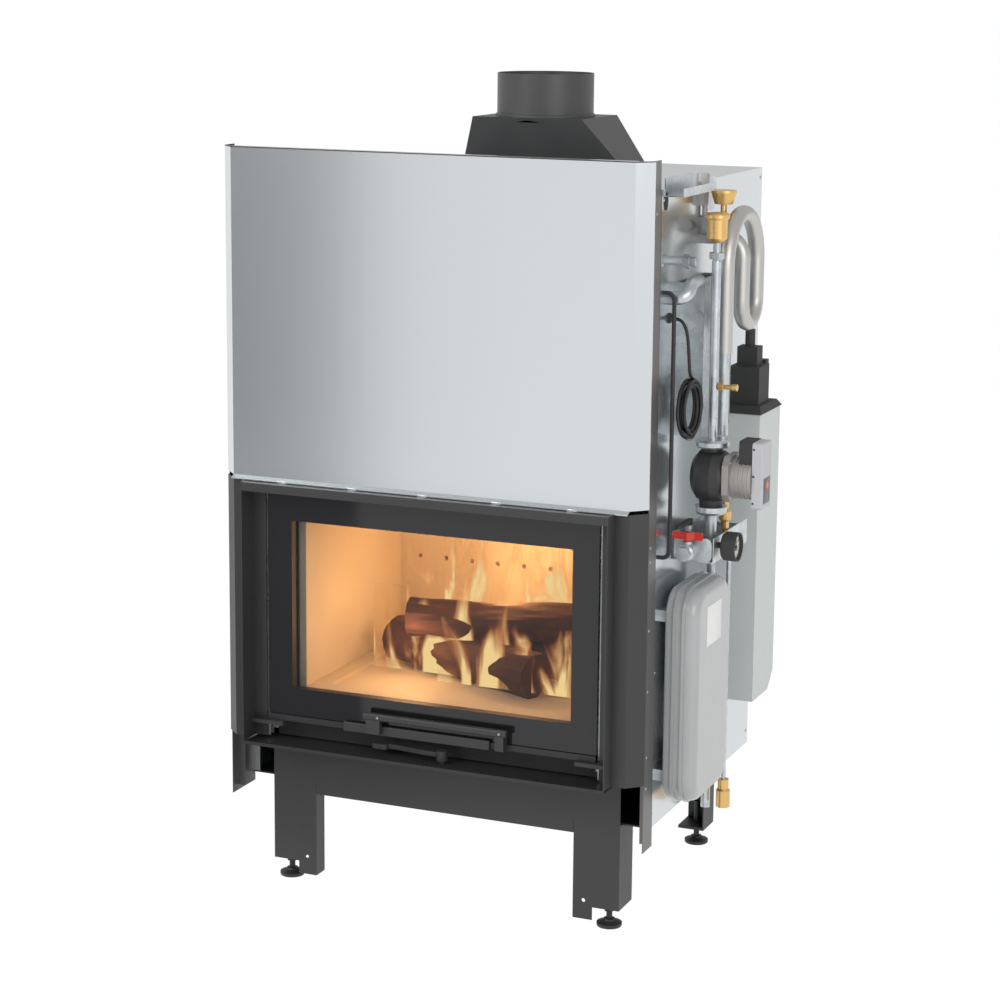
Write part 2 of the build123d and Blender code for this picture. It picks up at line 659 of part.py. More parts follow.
def butterfly_handle():
    """Two-winged handle of the ball valve, on its stem."""
    x, y = BUTTERFLY
    outline = [(-29, -5), (-14, -3), (0, -8), (14, -3), (29, -5), (29, 5), (14, 3), (0, 8), (-14, 3), (-29, 5)]
    wings = upright([(x + u, y + v) for u, v in outline], (774, 788))
    return wings + rod(8, (x, y, 771), 3) + rod(STEM, (x, y, 758), 14)


def shutoff_lever():
    """Lever of the shut-off valve, on its stem."""
    x, y = SHUTOFF
    bar = Pos(x + 1, y - 29, 795) * extrude(SlotOverall(78, 11, rotation=90), amount=6)
    return bar + rod(STEM, (x, y, 774), 22) + rod(8, (x, y, 791), 4)


def pressure_gauge():
    """Round case on a stem, open in front for the needle."""
    y, z = GAUGE
    case = turned(
        [(0, 520), (6, 520), (6, 530), (24, 530), (28, 534), (28, 560), (25, 560), (25, 552), (0, 552)],
        (0, y, z), "X",
    )
    return case - rod(1.55, (546, y, z), 8, "X")


def gauge_needle():
    """Pointer with a counterpoised tail, on its pin."""
    y, z = GAUGE
    outline = [(-2, -8), (2, -8), (1.6, 0), (0.5, 19), (-0.5, 19), (-1.6, 0)]
    pointer = across([(y + u, z + v) for u, v in outline], (554, 555))
    return pointer + rod(1.5, (547, y, z), 8, "X") + rod(3, (554, y, z), 2, "X")


def vessel_form(shrink):
    """Flat rounded body of the vessel, or the space inside its wall."""
    width, height = 211 - 2 * shrink, 422 - 2 * shrink
    face = Plane.YZ * Pos(223.5, 469) * RectangleRounded(width, height, 52 - shrink)
    body = Pos(446 + shrink, 0, 0) * extrude(face, amount=66 - 2 * shrink)
    body = fillet(body.faces().sort_by(Axis.X)[-1].edges(), 20 - shrink)
    return fillet(body.faces().sort_by(Axis.X)[0].edges(), 8 - shrink)


def expansion_vessel():
    """Flat pressed vessel with rounded edges and two clamped rims."""
    body = vessel_form(0)
    for x in (464, 482):
        rim = extrude(Plane.YZ * Pos(223.5, 469) * RectangleRounded(219, 430, 56), amount=6)
        body += Pos(x, 0, 0) * rim
    return body - vessel_form(2)


def electrical_box():
    """Tall housing on the side panel, hollow, with a rounded rear bottom corner."""
    x = (PANEL + 2, 520)
    outline = [(457, 380), (560, 380), (595, 414), (595, 970), (457, 970)]
    inner = [(459, 382), (559, 382), (593, 415), (593, 968), (459, 968)]
    return across(outline, x) - across(inner, (x[0] + 2, x[1] - 2))


def cable_inlets():
    """Plug on top of the electrical box, and the gland of the sensor cable in the panel."""
    cap = loft([
        (Plane.XY.offset(970) * Pos(478, 526) * Rectangle(90, 144)).face(),
        (Plane.XY.offset(984) * Pos(478, 526) * Rectangle(76, 112)).face(),
    ])
    plug = cap + block((446, 508), (484, 552), (984, 1060)) + block((452, 500), (554, 574), (984, 1066))
    plug += block((456, 498), (500, 536), (1060, 1098))
    plug += rod(10, (477, 518, 1098), 34)
    y, z = CABLE_ROUTE[0][1:]
    gland = turned([(4, 0), (10, 0), (10, 3), (7, 3), (5.5, 8), (4, 8)], (PANEL + 2, y, z), "X")
    gland += rod(4, (PANEL + 2, y, z), 6, "X")
    return [plug, gland]


def sensor_tube():
    """Black bent tube along the front edge, both ends turned into the panel."""
    points = [(PANEL + 2, 112, 1248), (455, 112, 1248), (455, 112, 745), (PANEL + 2, 112, 745)]
    return bent_tube(points, 4, [14, 14])


def thermal_valve():
    """Grey valve casting at the top with its black head."""
    casting = block((PANEL + 2, 479), (318, 354), (1340, 1372))
    casting = fillet(casting.edges().filter_by(Axis.Y), 5)
    casting += rod(11, (453, 300, 1356), 18, "Y")
    head = across([(306, 1394), (330, 1394), (338, 1452), (322, 1456), (306, 1420)], (PANEL + 2, 444))
    neck = rod(5, (439, 326, 1372), 22)
    return [casting + neck + head]


# Sensor cable: a route of points from its gland, then a tied coil

CABLE_ROUTE = [
    (PANEL + 8, 150, 1196), (454, 150, 1196), (465, 151, 1181), (469, 153, 1160),
    (470, 156, 1136), (471, 158, 1111), (472, 161, 1087),
]


def route_radii(points, share=0.45):
    """Largest arc that each corner of a cable's route leaves room for."""
    radii = []
    for before, here, after in zip(points, points[1:], points[2:]):
        arriving = Vector(*here) - Vector(*before)
        leaving = Vector(*after) - Vector(*here)
        half_turn = math.radians(arriving.get_angle(leaving)) / 2
        radii.append(share * min(arriving.length, leaving.length) / math.tan(half_turn))
    return radii


def sensor_cable():
    radii = route_radii(CABLE_ROUTE)
    print("sensor cable radii in mm:", [round(radius, 1) for radius in radii])
    return bent_tube(CABLE_ROUTE, CABLE_RADIUS, radii)


def sensor_cable_coil():
    return Pos(*COIL_CENTRE) * Rot(0, 90, 0) * Torus(COIL_MEAN, COIL_BUNDLE)


def main():
    os.makedirs("parts", exist_ok=True)
    save("front_base", *front_base())
    save("base_side_left", base_side(-1))
    save("base_side_right", base_side(1))
    for place, x, y in (
        ("front_left", -FOOT_X, FOOT_FRONT), ("front_right", FOOT_X, FOOT_FRONT),
        ("rear_left", -FOOT_X, FOOT_REAR), ("rear_right", FOOT_X, FOOT_REAR),
    ):
        save(f"foot_{place}", levelling_foot(x, y))
    save("floor_plate", floor_plate())
    save("side_panels", *both_sides(side_panel()))
    save("back_panel", back_panel())
    save("top_plate", top_plate())
    save("firebox_front", firebox_front())
    save("water_jacket", *water_jacket())
    save("firebrick_lining", *firebrick_lining())
    save("baffle", baffle())
    save("air_collar", air_collar())
    save("smoke_hood", smoke_hood())
    save("flue_collar", flue_collar())
    save("upper_cover", upper_cover())
    save("side_rails", *both_sides(side_rail()))
    save("portal_pillars", *both_sides(portal_pillar()))
    save("portal_head", portal_head())
    save("portal_ledge", portal_ledge())
    save("air_lever", air_lever())
    save("door_glass", door_glass())
    save("door_frame", *door_frame())
    save("door_handle", *door_handle())
    save("door_fittings", *door_fittings())
    save("lift_shaft", lift_shaft())
    save("idler_left", idler(-1))
    save("idler_right", idler(1))
    save("counterweight_left", counterweight(-1))
    save("counterweight_right", counterweight(1))
    save("lift_guides", *lift_guides())
    save("lift_ropes", *both_sides(lift_rope()))
    save("lift_brackets", *lift_brackets())
    save("mounting_brackets", *mounting_brackets())
    save("riser_pipe", *riser_pipe())
    save("connecting_pipes", *connecting_pipes())
    save("brass_fittings", *brass_fittings())
    save("heating_loop", heating_loop())
    save("pump_housing", pump_housing())
    save("pump_motor", pump_motor())
    save("pump_rotor", pump_rotor())
    save("pump_terminal_block", pump_terminal_block())
    save("pump_control_box", pump_control_box())
    save("drain_tray", drain_tray())
    save("valve_bodies", *valve_bodies())
    save("butterfly_handle", butterfly_handle())
    save("shutoff_lever", shutoff_lever())
    save("pressure_gauge", pressure_gauge())
    save("gauge_needle", gauge_needle())
    save("expansion_vessel", expansion_vessel())
    save("electrical_box", electrical_box())
    save("cable_inlets", *cable_inlets())
    save("sensor_tube", sensor_tube())
    save("thermal_valve", *thermal_valve())
    save("sensor_cable", sensor_cable())
    save("sensor_cable_coil", sensor_cable_coil())


main()
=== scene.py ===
"""Looks of a water-heating fireplace insert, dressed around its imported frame."""

import logging
import math
from dataclasses import dataclass
from enum import Enum

import bmesh
import bpy
from bmesh.types import BMesh
from bpy.types import ID, Material, Node, NodeTree, Object
from mathutils import Matrix, Vector, noise


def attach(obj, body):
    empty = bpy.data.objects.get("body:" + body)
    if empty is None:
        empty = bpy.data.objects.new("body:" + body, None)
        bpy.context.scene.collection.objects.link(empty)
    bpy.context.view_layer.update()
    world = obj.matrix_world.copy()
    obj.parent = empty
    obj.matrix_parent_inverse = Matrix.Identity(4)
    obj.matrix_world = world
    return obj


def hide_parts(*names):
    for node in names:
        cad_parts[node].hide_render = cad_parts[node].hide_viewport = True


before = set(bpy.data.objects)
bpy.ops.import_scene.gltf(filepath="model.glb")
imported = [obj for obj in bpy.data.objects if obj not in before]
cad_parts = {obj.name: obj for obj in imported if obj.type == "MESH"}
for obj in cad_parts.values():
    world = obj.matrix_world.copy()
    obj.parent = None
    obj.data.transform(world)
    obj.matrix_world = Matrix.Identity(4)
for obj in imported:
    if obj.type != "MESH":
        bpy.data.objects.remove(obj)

LOG = logging.getLogger("insert")
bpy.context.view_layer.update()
MM = 0.001
FOOTPRINT_MIDDLE = Vector((81.0, 343.5, 0.0))
PANEL_FACE = 432.0
MERGE_DISTANCE = 1e-7
SHARP_EDGE = math.radians(32)
CRYSTAL_SWING = 0.14
COLOUR, NUMBER, VECTOR = "NodeSocketColor", "NodeSocketFloat", "NodeSocketVector"


class Body(Enum):
    """Moving bodies that dressed pieces ride on."""

    STOVE = "stove"
    DOOR = "door"


class Facing(Enum):
    """Turns that bring an upright +Z form to face along an axis."""

    RIGHT = Matrix.Rotation(math.radians(90), 4, "Y")
    LEFT = Matrix.Rotation(math.radians(-90), 4, "Y")
    FRONT = Matrix.Rotation(math.radians(90), 4, "X")
    UP = Matrix.Identity(4)


SIDES = ((1, Facing.RIGHT, "right"), (-1, Facing.LEFT, "left"))


def place(x: float, y: float, z: float) -> Vector:
    """Turn door-centred millimetres into the row frame.

    Args:
        x: Distance to the right of the door's middle.
        y: Distance behind the cover's front face.
        z: Height above the floor.

    Returns:
        The point in metres.
    """
    return (Vector((x, y, z)) - FOOTPRINT_MIDDLE) * MM


def new_group(name: str, inputs: dict, outputs: dict) -> NodeTree:
    """Start a shader node group with its sockets.

    Args:
        name: Name of the group.
        inputs: Kind of socket for each input's name.
        outputs: Kind of socket for each output's name.

    Returns:
        The group, with no nodes in it yet.
    """
    group = bpy.data.node_groups.new(name, "ShaderNodeTree")
    for way, sockets in (("INPUT", inputs), ("OUTPUT", outputs)):
        for socket, kind in sockets.items():
            group.interface.new_socket(socket, in_out=way, socket_type=kind)
    return group


def surface_group() -> NodeTree:
    """Build the group that varies colour, roughness and height over a surface.

    Returns:
        A shader node group with a cloudy tone, fine grain and a stretch for rolled or brushed sheet.
    """
    inputs = {
        "Light Tone": COLOUR, "Dark Tone": COLOUR, "Stretch": VECTOR, "Cloud Scale": NUMBER,
        "Grain Scale": NUMBER, "Grain Share": NUMBER, "Roughness": NUMBER, "Roughness Swing": NUMBER,
    }
    outputs = {"Color": COLOUR, "Roughness": NUMBER, "Height": NUMBER}
    group = new_group("varied_surface", inputs, outputs)
    node, link = group.nodes.new, group.links.new
    given, out = node("NodeGroupInput"), node("NodeGroupOutput")
    coords, stretch = node("ShaderNodeTexCoord"), node("ShaderNodeVectorMath")
    stretch.operation = "MULTIPLY"
    link(coords.outputs["Object"], stretch.inputs[0])
    link(given.outputs["Stretch"], stretch.inputs[1])
    cloud, grain = node("ShaderNodeTexNoise"), node("ShaderNodeTexNoise")
    cloud.inputs["Detail"].default_value = 5
    grain.inputs["Detail"].default_value = 2
    for texture, scale in ((cloud, "Cloud Scale"), (grain, "Grain Scale")):
        link(stretch.outputs[0], texture.inputs["Vector"])
        link(given.outputs[scale], texture.inputs["Scale"])
    blend = node("ShaderNodeMix")
    link(given.outputs["Grain Share"], blend.inputs["Factor"])
    link(cloud.outputs["Fac"], blend.inputs["A"])
    link(grain.outputs["Fac"], blend.inputs["B"])
    spread = node("ShaderNodeMapRange")
    spread.inputs["From Min"].default_value = 0.3
    spread.inputs["From Max"].default_value = 0.7
    link(blend.outputs["Result"], spread.inputs["Value"])
    tone = node("ShaderNodeMix")
    tone.data_type = "RGBA"
    link(spread.outputs["Result"], tone.inputs["Factor"])
    link(given.outputs["Dark Tone"], tone.inputs["A"])
    link(given.outputs["Light Tone"], tone.inputs["B"])
    swing, rough = node("ShaderNodeMath"), node("ShaderNodeMath")
    swing.operation = "MULTIPLY"
    link(spread.outputs["Result"], swing.inputs[0])
    link(given.outputs["Roughness Swing"], swing.inputs[1])
    link(swing.outputs[0], rough.inputs[0])
    link(given.outputs["Roughness"], rough.inputs[1])
    link(tone.outputs["Result"], out.inputs["Color"])
    link(rough.outputs[0], out.inputs["Roughness"])
    link(grain.outputs["Fac"], out.inputs["Height"])
    return group


def spangle_group() -> NodeTree:
    """Build the group of crystal cells that a hot-dip zinc coat shows.

    Returns:
        A shader node group that puts out a colour and a roughness for each crystal.
    """
    inputs = {"Light Tone": COLOUR, "Dark Tone": COLOUR, "Scale": NUMBER, "Roughness": NUMBER}
    group = new_group("zinc_spangle", inputs, {"Color": COLOUR, "Roughness": NUMBER})
    node, link = group.nodes.new, group.links.new
    given, out = node("NodeGroupInput"), node("NodeGroupOutput")
    coords, cells = node("ShaderNodeTexCoord"), node("ShaderNodeTexVoronoi")
    split = node("ShaderNodeSeparateColor")
    link(coords.outputs["Object"], cells.inputs["Vector"])
    link(given.outputs["Scale"], cells.inputs["Scale"])
    link(cells.outputs["Color"], split.inputs["Color"])
    tone, rough, swing = node("ShaderNodeMix"), node("ShaderNodeMath"), node("ShaderNodeMath")
    tone.data_type = "RGBA"
    link(split.outputs["Red"], tone.inputs["Factor"])
    link(given.outputs["Dark Tone"], tone.inputs["A"])
    link(given.outputs["Light Tone"], tone.inputs["B"])
    swing.operation = "MULTIPLY"
    swing.inputs[1].default_value = CRYSTAL_SWING
    link(split.outputs["Green"], swing.inputs[0])
    link(swing.outputs[0], rough.inputs[0])
    link(given.outputs["Roughness"], rough.inputs[1])
    link(tone.outputs["Result"], out.inputs["Color"])
    link(rough.outputs[0], out.inputs["Roughness"])
    return group


SURFACE = surface_group()
SPANGLE = spangle_group()


def shade(colour: tuple[float, float, float], by: float) -> tuple[float, float, float, float]:
    """Scale a colour's brightness and give it full alpha.

    Args:
        colour: Linear red, green and blue.
        by: Factor for all three.

    Returns:
        The colour with alpha 1.
    """
    return (*(min(1.0, part * by) for part in colour), 1.0)


@dataclass(frozen=True)
class Finish:
    """A surface finish with varied tone, roughness and grain.

    Attributes:
        name: Material name.
        colour: Middle tone, linear.
        contrast: How far the tone swings each way.
        roughness: Smoothest roughness on the surface.
        swing: Roughness added where the tone is light.
        metallic: Share of bare metal.
        cloud: Scale of the broad clouds, per metre.
        grain: Scale of the fine grain, per metre.
        share: Share of the grain in the tone.
        stretch: Factor on each axis of the texture.
        bump: Strength of the grain's relief.
        coat: Weight of a clear gloss layer.
    """

    name: str
    colour: tuple[float, float, float]
    contrast: float = 0.08
    roughness: float = 0.4
    swing: float = 0.1
    metallic: float = 0.0
    cloud: float = 6.0
    grain: float = 900.0
    share: float = 0.3
    stretch: tuple[float, float, float] = (1.0, 1.0, 1.0)
    bump: float = 0.05
    coat: float = 0.0

    def material(self) -> Material:
        """Build the material once and return it on later calls.

        Returns:
            The material of this finish.
        """
        made = bpy.data.materials.get(self.name)
        if made is None:
            made = bpy.data.materials.new(self.name)
            made.use_nodes = True
            self.wire(made.node_tree)
        return made

    def wire(self, tree: NodeTree) -> None:
        """Let the varied surface drive the shader.

        Args:
            tree: Node tree of the material.
        """
        surface = self.feed(tree, SURFACE, {
            "Stretch": self.stretch, "Cloud Scale": self.cloud, "Grain Scale": self.grain,
            "Grain Share": self.share, "Roughness Swing": self.swing,
        })
        shader = tree.nodes["Principled BSDF"]
        shader.inputs["Coat Weight"].default_value = self.coat
        bump = tree.nodes.new("ShaderNodeBump")
        bump.inputs["Strength"].default_value = self.bump
        bump.inputs["Distance"].default_value = MM
        tree.links.new(surface.outputs["Height"], bump.inputs["Height"])
        tree.links.new(bump.outputs["Normal"], shader.inputs["Normal"])

    def feed(self, tree: NodeTree, group: NodeTree, own: dict) -> Node:
        """Lead a node group's colour and roughness into the shader.

        Args:
            tree: Node tree of the material.
            group: Group that puts out a colour and a roughness.
            own: Values of the inputs that only this group has.

        Returns:
            The node that holds the group.
        """
        source = tree.nodes.new("ShaderNodeGroup")
        source.node_tree = group
        tones = {
            "Light Tone": shade(self.colour, 1 + self.contrast),
            "Dark Tone": shade(self.colour, 1 - self.contrast),
            "Roughness": self.roughness,
        }
        for name, value in (tones | own).items():
            source.inputs[name].default_value = value
        shader = tree.nodes["Principled BSDF"]
        shader.inputs["Metallic"].default_value = self.metallic
        tree.links.new(source.outputs["Color"], shader.inputs["Base Color"])
        tree.links.new(source.outputs["Roughness"], shader.inputs["Roughness"])
        return source


@dataclass(frozen=True)
class Galvanised(Finish):
    """Hot-dip zinc coat whose crystals differ in tone and gloss.

    Attributes:
        crystals: Scale of the crystals, per metre.
    """

    crystals: float = 70.0

    def wire(self, tree: NodeTree) -> None:
        """Let the zinc crystals drive the shader.

        Args:
            tree: Node tree of the material.
        """
        self.feed(tree, SPANGLE, {"Scale": self.crystals})


@dataclass(frozen=True)
class ClearGlass(Finish):
    """Clear ceramic glass, seen mostly by its reflection.

    Attributes:
        opacity: Share of the surface that hides what is behind it.
    """

    opacity: float = 0.22

    def wire(self, tree: NodeTree) -> None:
        """Let the varied surface drive a shader that lets most light through.

        Args:
            tree: Node tree of the material.
        """
        super().wire(tree)
        tree.nodes["Principled BSDF"].inputs["Alpha"].default_value = self.opacity


SATIN_ZINC = Finish(
    "satin_zinc", (0.63, 0.665, 0.68), 0.02, 0.15, 0.04, metallic=0.85, cloud=2.0, grain=700,
    share=0.15, stretch=(1, 1, 0.2), bump=0.0,
)
BLACK_PAINT = Finish(
    "black_heatproof_paint", (0.022, 0.022, 0.0235), 0.14, 0.42, 0.12, cloud=5, grain=1400, share=0.5,
    bump=0.12,
)
CHARCOAL_PAINT = Finish(
    "charcoal_paint", (0.036, 0.036, 0.037), 0.10, 0.40, 0.12, cloud=5, grain=1400, share=0.4,
    bump=0.10,
)
FLUE_PAINT = Finish(
    "flue_paint", (0.075, 0.075, 0.075), 0.10, 0.36, 0.14, metallic=0.2, cloud=9, grain=1200,
    bump=0.10,
)
RAIL_STEEL = Finish(
    "rail_steel", (0.15, 0.147, 0.145), 0.10, 0.30, metallic=0.6, cloud=3, stretch=(1, 1, 0.1),
)
BOILER_PLATE = Finish(
    "boiler_plate", (0.16, 0.155, 0.15), 0.22, 0.5, 0.18, metallic=0.3, cloud=8, grain=500, bump=0.15,
)
FIRECLAY = Finish("fireclay", (0.56, 0.42, 0.27), 0.22, 0.82, cloud=14, grain=420, share=0.45, bump=0.5)
TURNED_STEEL = Finish(
    "turned_steel", (0.56, 0.56, 0.56), 0.08, 0.22, 0.12, metallic=1.0, cloud=20, grain=1500,
    share=0.5, stretch=(1, 1, 6),
)
PEWTER = Finish(
    "pewter_pipe", (0.50, 0.48, 0.455), 0.07, 0.22, metallic=0.95, cloud=12, grain=800, share=0.25,
    bump=0.03,
)
BRASS = Finish(
    "machined_brass", (0.78, 0.50, 0.19), 0.10, 0.24, 0.14, metallic=0.85, cloud=30, grain=1300,
    share=0.4,
)
CAST_BLACK = Finish(
    "painted_casting", (0.030, 0.030, 0.031), 0.2, 0.36, 0.16, cloud=30, grain=650, share=0.5,
    bump=0.45,
)
CAST_GREY = Finish(
    "sand_casting", (0.40, 0.385, 0.37), 0.14, 0.42, 0.16, metallic=0.55, cloud=30, grain=800,
    share=0.5, bump=0.40,
)
BLACK_PLASTIC = Finish(
    "black_plastic", (0.022, 0.022, 0.023), 0.1, 0.38, cloud=30, grain=1600, share=0.5, bump=0.12,
)
GREY_PLASTIC = Finish(
    "light_grey_plastic", (0.52, 0.52, 0.55), 0.03, 0.36, cloud=30, grain=1600, share=0.5, bump=0.08,
)
RED_PLASTIC = Finish(
    "red_dipped_handle", (0.66, 0.035, 0.015), 0.10, 0.30, cloud=40, share=0.4, bump=0.10, coat=0.3,
)
VESSEL_PAINT = Finish(
    "vessel_gloss", (0.43, 0.435, 0.44), 0.03, 0.22, 0.06, cloud=10, grain=500, bump=0.03, coat=0.4,
)
BOX_PAINT = Finish(
    "powder_coat", (0.62, 0.66, 0.65), 0.03, 0.40, 0.08, cloud=20, grain=1300, share=0.5, bump=0.10,
)
CABLE_SHEATH = Finish("cable_sheath", (0.018, 0.018, 0.019), 0.1, 0.40, cloud=40, bump=0.06)
WHITE_LABEL = Finish("blank_label", (0.86, 0.86, 0.85), 0.01, 0.35, 0.05, cloud=30, bump=0.02)
ORANGE_DOT = Finish("orange_knob", (0.85, 0.13, 0.02), 0.05, 0.3, 0.05, cloud=40, bump=0.02)
DARK_FIELD = Finish("dark_field", (0.085, 0.08, 0.08), 0.05, 0.3, 0.05, cloud=30, bump=0.02)
PRINTED_BORDER = Finish(
    "printed_glass_border", (0.012, 0.012, 0.014), 0.03, 0.05, 0.02, cloud=8, grain=300, share=0.2,
    bump=0.0,
)
SEAL_ROPE = Finish(
    "glass_fibre_rope", (0.10, 0.10, 0.10), 0.35, 0.85, cloud=60, grain=1200, share=0.6, bump=0.8,
)
BARK = Finish(
    "burning_bark", (0.075, 0.026, 0.016), 0.65, 0.6, 0.3, cloud=22, grain=260, share=0.4,
    stretch=(1, 3, 3), bump=0.9,
)
CARD_GREY = Finish("studio_card_grey", (0.30, 0.30, 0.31), 0.02, 0.9, 0.0, bump=0.0)
DOOR_GLASS = ClearGlass(
    "ceramic_glass", (0.02, 0.02, 0.022), 0.02, 0.03, 0.02, cloud=5, grain=300, share=0.2, bump=0.0,
)
GALVANISED = Galvanised("galvanised_sheet", (0.55, 0.59, 0.61), 0.10, 0.26, metallic=0.85)

DRESS = (
    (SATIN_ZINC, "side_panels", "back_panel", "top_plate", "upper_cover"),
    (BLACK_PAINT, "base_side_left", "base_side_right", "foot_front_left", "foot_front_right",
     "foot_rear_left", "foot_rear_right", "floor_plate", "firebox_front", "air_collar", "portal_ledge",
     "door_frame"),
    (RAIL_STEEL, "side_rails"),
    (CHARCOAL_PAINT, "front_base", "portal_pillars", "portal_head", "air_lever", "door_handle"),
    (BOILER_PLATE, "water_jacket", "counterweight_left", "counterweight_right"),
    (FIRECLAY, "firebrick_lining", "baffle"),
    (FLUE_PAINT, "smoke_hood", "flue_collar"),
    (DOOR_GLASS, "door_glass"),
    (TURNED_STEEL, "door_fittings", "lift_shaft", "idler_left", "idler_right", "lift_ropes", "pump_rotor"),
    (GALVANISED, "lift_guides", "lift_brackets", "mounting_brackets", "riser_pipe", "connecting_pipes",
     "drain_tray", "valve_bodies"),
    (BRASS, "brass_fittings"),
    (PEWTER, "heating_loop"),
    (CAST_BLACK, "pump_housing"),
    (CAST_GREY, "pump_motor", "thermal_valve"),
    (BLACK_PLASTIC, "pump_terminal_block", "shutoff_lever", "pressure_gauge", "gauge_needle", "cable_inlets",
     "sensor_tube"),
    (GREY_PLASTIC, "pump_control_box"),
    (RED_PLASTIC, "butterfly_handle"),
    (VESSEL_PAINT, "expansion_vessel"),
    (BOX_PAINT, "electrical_box"),
    (CABLE_SHEATH, "sensor_cable", "sensor_cable_coil"),
)


def dress_nodes() -> None:
    """Give every node of the frame its finish.

    Raises:
        ValueError: If a node has no finish.
    """
    bare = set(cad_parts)
    for finish, *names in DRESS:
        for name in names:
            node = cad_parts[name]
            node.data.materials.clear()
            node.data.materials.append(finish.material())
            bare.discard(name)
            LOG.info("node %s wears %s", name, finish.name)
    if bare:
        raise ValueError(f"nodes without a finish: {sorted(bare)}")


def settle(piece: Object, finish: Finish, body: Body = Body.STOVE) -> Object:
    """Give a new piece its finish and body.

    Args:
        piece: Mesh or curve object, already in place.
        finish: Finish that it wears.
        body: Body that it rides on.

    Returns:
        The same piece.
    """
    piece.data.materials.append(finish.material())
    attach(piece, body.value)
    LOG.info("piece %s rides on %s", piece.name, body.value)
    return piece


def linked(name: str, data: ID) -> Object:
    """Make an object and link it to the scene.

    Args:
        name: Name of the object.
        data: Mesh, curve, text, lamp or camera that it holds.

    Returns:
        The new object.
    """
    made = bpy.data.objects.new(name, data)
    bpy.context.scene.collection.objects.link(made)
    return made


def object_of(name: str, form: BMesh, smooth: bool = True) -> Object:
    """Turn a bmesh into a linked object.

    Args:
        name: Name of the piece.
        form: Finished bmesh, freed here.
        smooth: Shade smooth across shallow edges.

    Returns:
        The new object.
    """
    bmesh.ops.remove_doubles(form, verts=form.verts, dist=MERGE_DISTANCE)
    bmesh.ops.recalc_face_normals(form, faces=form.faces)
    mesh = bpy.data.meshes.new(name)
    form.to_mesh(mesh)
    form.free()
    if smooth:
        mesh.shade_smooth()
        mesh.set_sharp_from_angle(angle=SHARP_EDGE)
    return linked(name, mesh)


def add_slab(form: BMesh, low: Vector, high: Vector, edge: float) -> None:
    """Add a box with rounded edges to a bmesh.

    Args:
        form: Bmesh that takes the box.
        low: Lowest corner.
        high: Highest corner.
        edge: Width of the rounding, in metres.
    """
    size = high - low
    middle = Matrix.Translation((low + high) / 2) @ Matrix.Diagonal((*size, 1))
    made = bmesh.ops.create_cube(form, size=1, matrix=middle)
    edges = {e for v in made["verts"] for e in v.link_edges}
    if edge:
        bmesh.ops.bevel(form, geom=list(edges), offset=edge, segments=2, profile=0.5, affect="EDGES")


def add_turned(form: BMesh, profile: list, at: Vector, facing: Facing, sides: int = 32) -> None:
    """Add a turned form to a bmesh.

    Args:
        form: Bmesh that takes the form.
        profile: (radius, height) pairs in millimetres, from the axis back to the axis.
        at: Foot of its axis.
        facing: Axis that it stands along.
        sides: Facets round the axis.
    """
    turn = Matrix.Translation(at) @ facing.value
    rings = []
    for radius, height in profile:
        ring = []
        for side in range(sides if radius else 1):
            angle = 2 * math.pi * side / sides
            point = Vector((radius * math.cos(angle), radius * math.sin(angle), height)) * MM
            ring.append(form.verts.new(turn @ point))
        rings.append(ring)
    for first, second in zip(rings, rings[1:]):
        for side in range(sides):
            after = (side + 1) % sides
            corners = [first[side % len(first)], first[after % len(first)],
                       second[after % len(second)], second[side % len(second)]]
            form.faces.new(tuple(dict.fromkeys(corners)))


def outline_plate(name: str, outer: list, inner: list, depth: Vector) -> Object:
    """Make a plate between an outer and an inner closed outline of equal length.

    Args:
        name: Name of the piece.
        outer: Points of the outer outline.
        inner: Points of the inner outline, one for each outer point.
        depth: Vector from the front face to the back face.

    Returns:
        The plate, open in the middle.
    """
    form = bmesh.new()
    rings = [[form.verts.new(p) for p in ring] for ring in (outer, inner)]
    rings += [[form.verts.new(p + depth) for p in ring] for ring in (outer, inner)]
    front_out, front_in, back_out, back_in = rings
    for i in range(len(outer)):
        j = (i + 1) % len(outer)
        for a, b in ((front_out, front_in), (front_in, back_in), (back_in, back_out), (back_out, front_out)):
            form.faces.new((a[i], a[j], b[j], b[i]))
    return object_of(name, form, smooth=False)


def rounded_rectangle(half_x: float, half_z: float, radius: float, steps: int = 6) -> list:
    """Points of a rounded rectangle about its own middle.

    Args:
        half_x: Half of its width, in millimetres.
        half_z: Half of its height.
        radius: Corner radius.
        steps: Points in each corner.

    Returns:
        (x, z) pairs, anticlockwise from the right side.
    """
    points = []
    for corner, (sx, sz) in enumerate(((1, 1), (-1, 1), (-1, -1), (1, -1))):
        for step in range(steps):
            angle = math.pi / 2 * (corner + step / (steps - 1))
            x = sx * (half_x - radius) + radius * math.cos(angle)
            z = sz * (half_z - radius) + radius * math.sin(angle)
            points.append((x, z))
    return points


def tube(name: str, kind: str, line: list, radius: float, rounding: int) -> Object:
    """Make a round tube along a line of points.

    Args:
        name: Name of the piece.
        kind: Kind of spline, POLY or NURBS.
        line: Points in metres.
        radius: Radius of the tube, in millimetres.
        rounding: Resolution of its round section.

    Returns:
        The tube, with one spline.
    """
    curve = bpy.data.curves.new(name, "CURVE")
    curve.dimensions = "3D"
    curve.bevel_depth = radius * MM
    curve.bevel_resolution = rounding
    spline = curve.splines.new(kind)
    spline.points.add(len(line) - 1)
    for point, spot in zip(spline.points, line):
        point.co = (*spot, 1)
    return linked(name, curve)


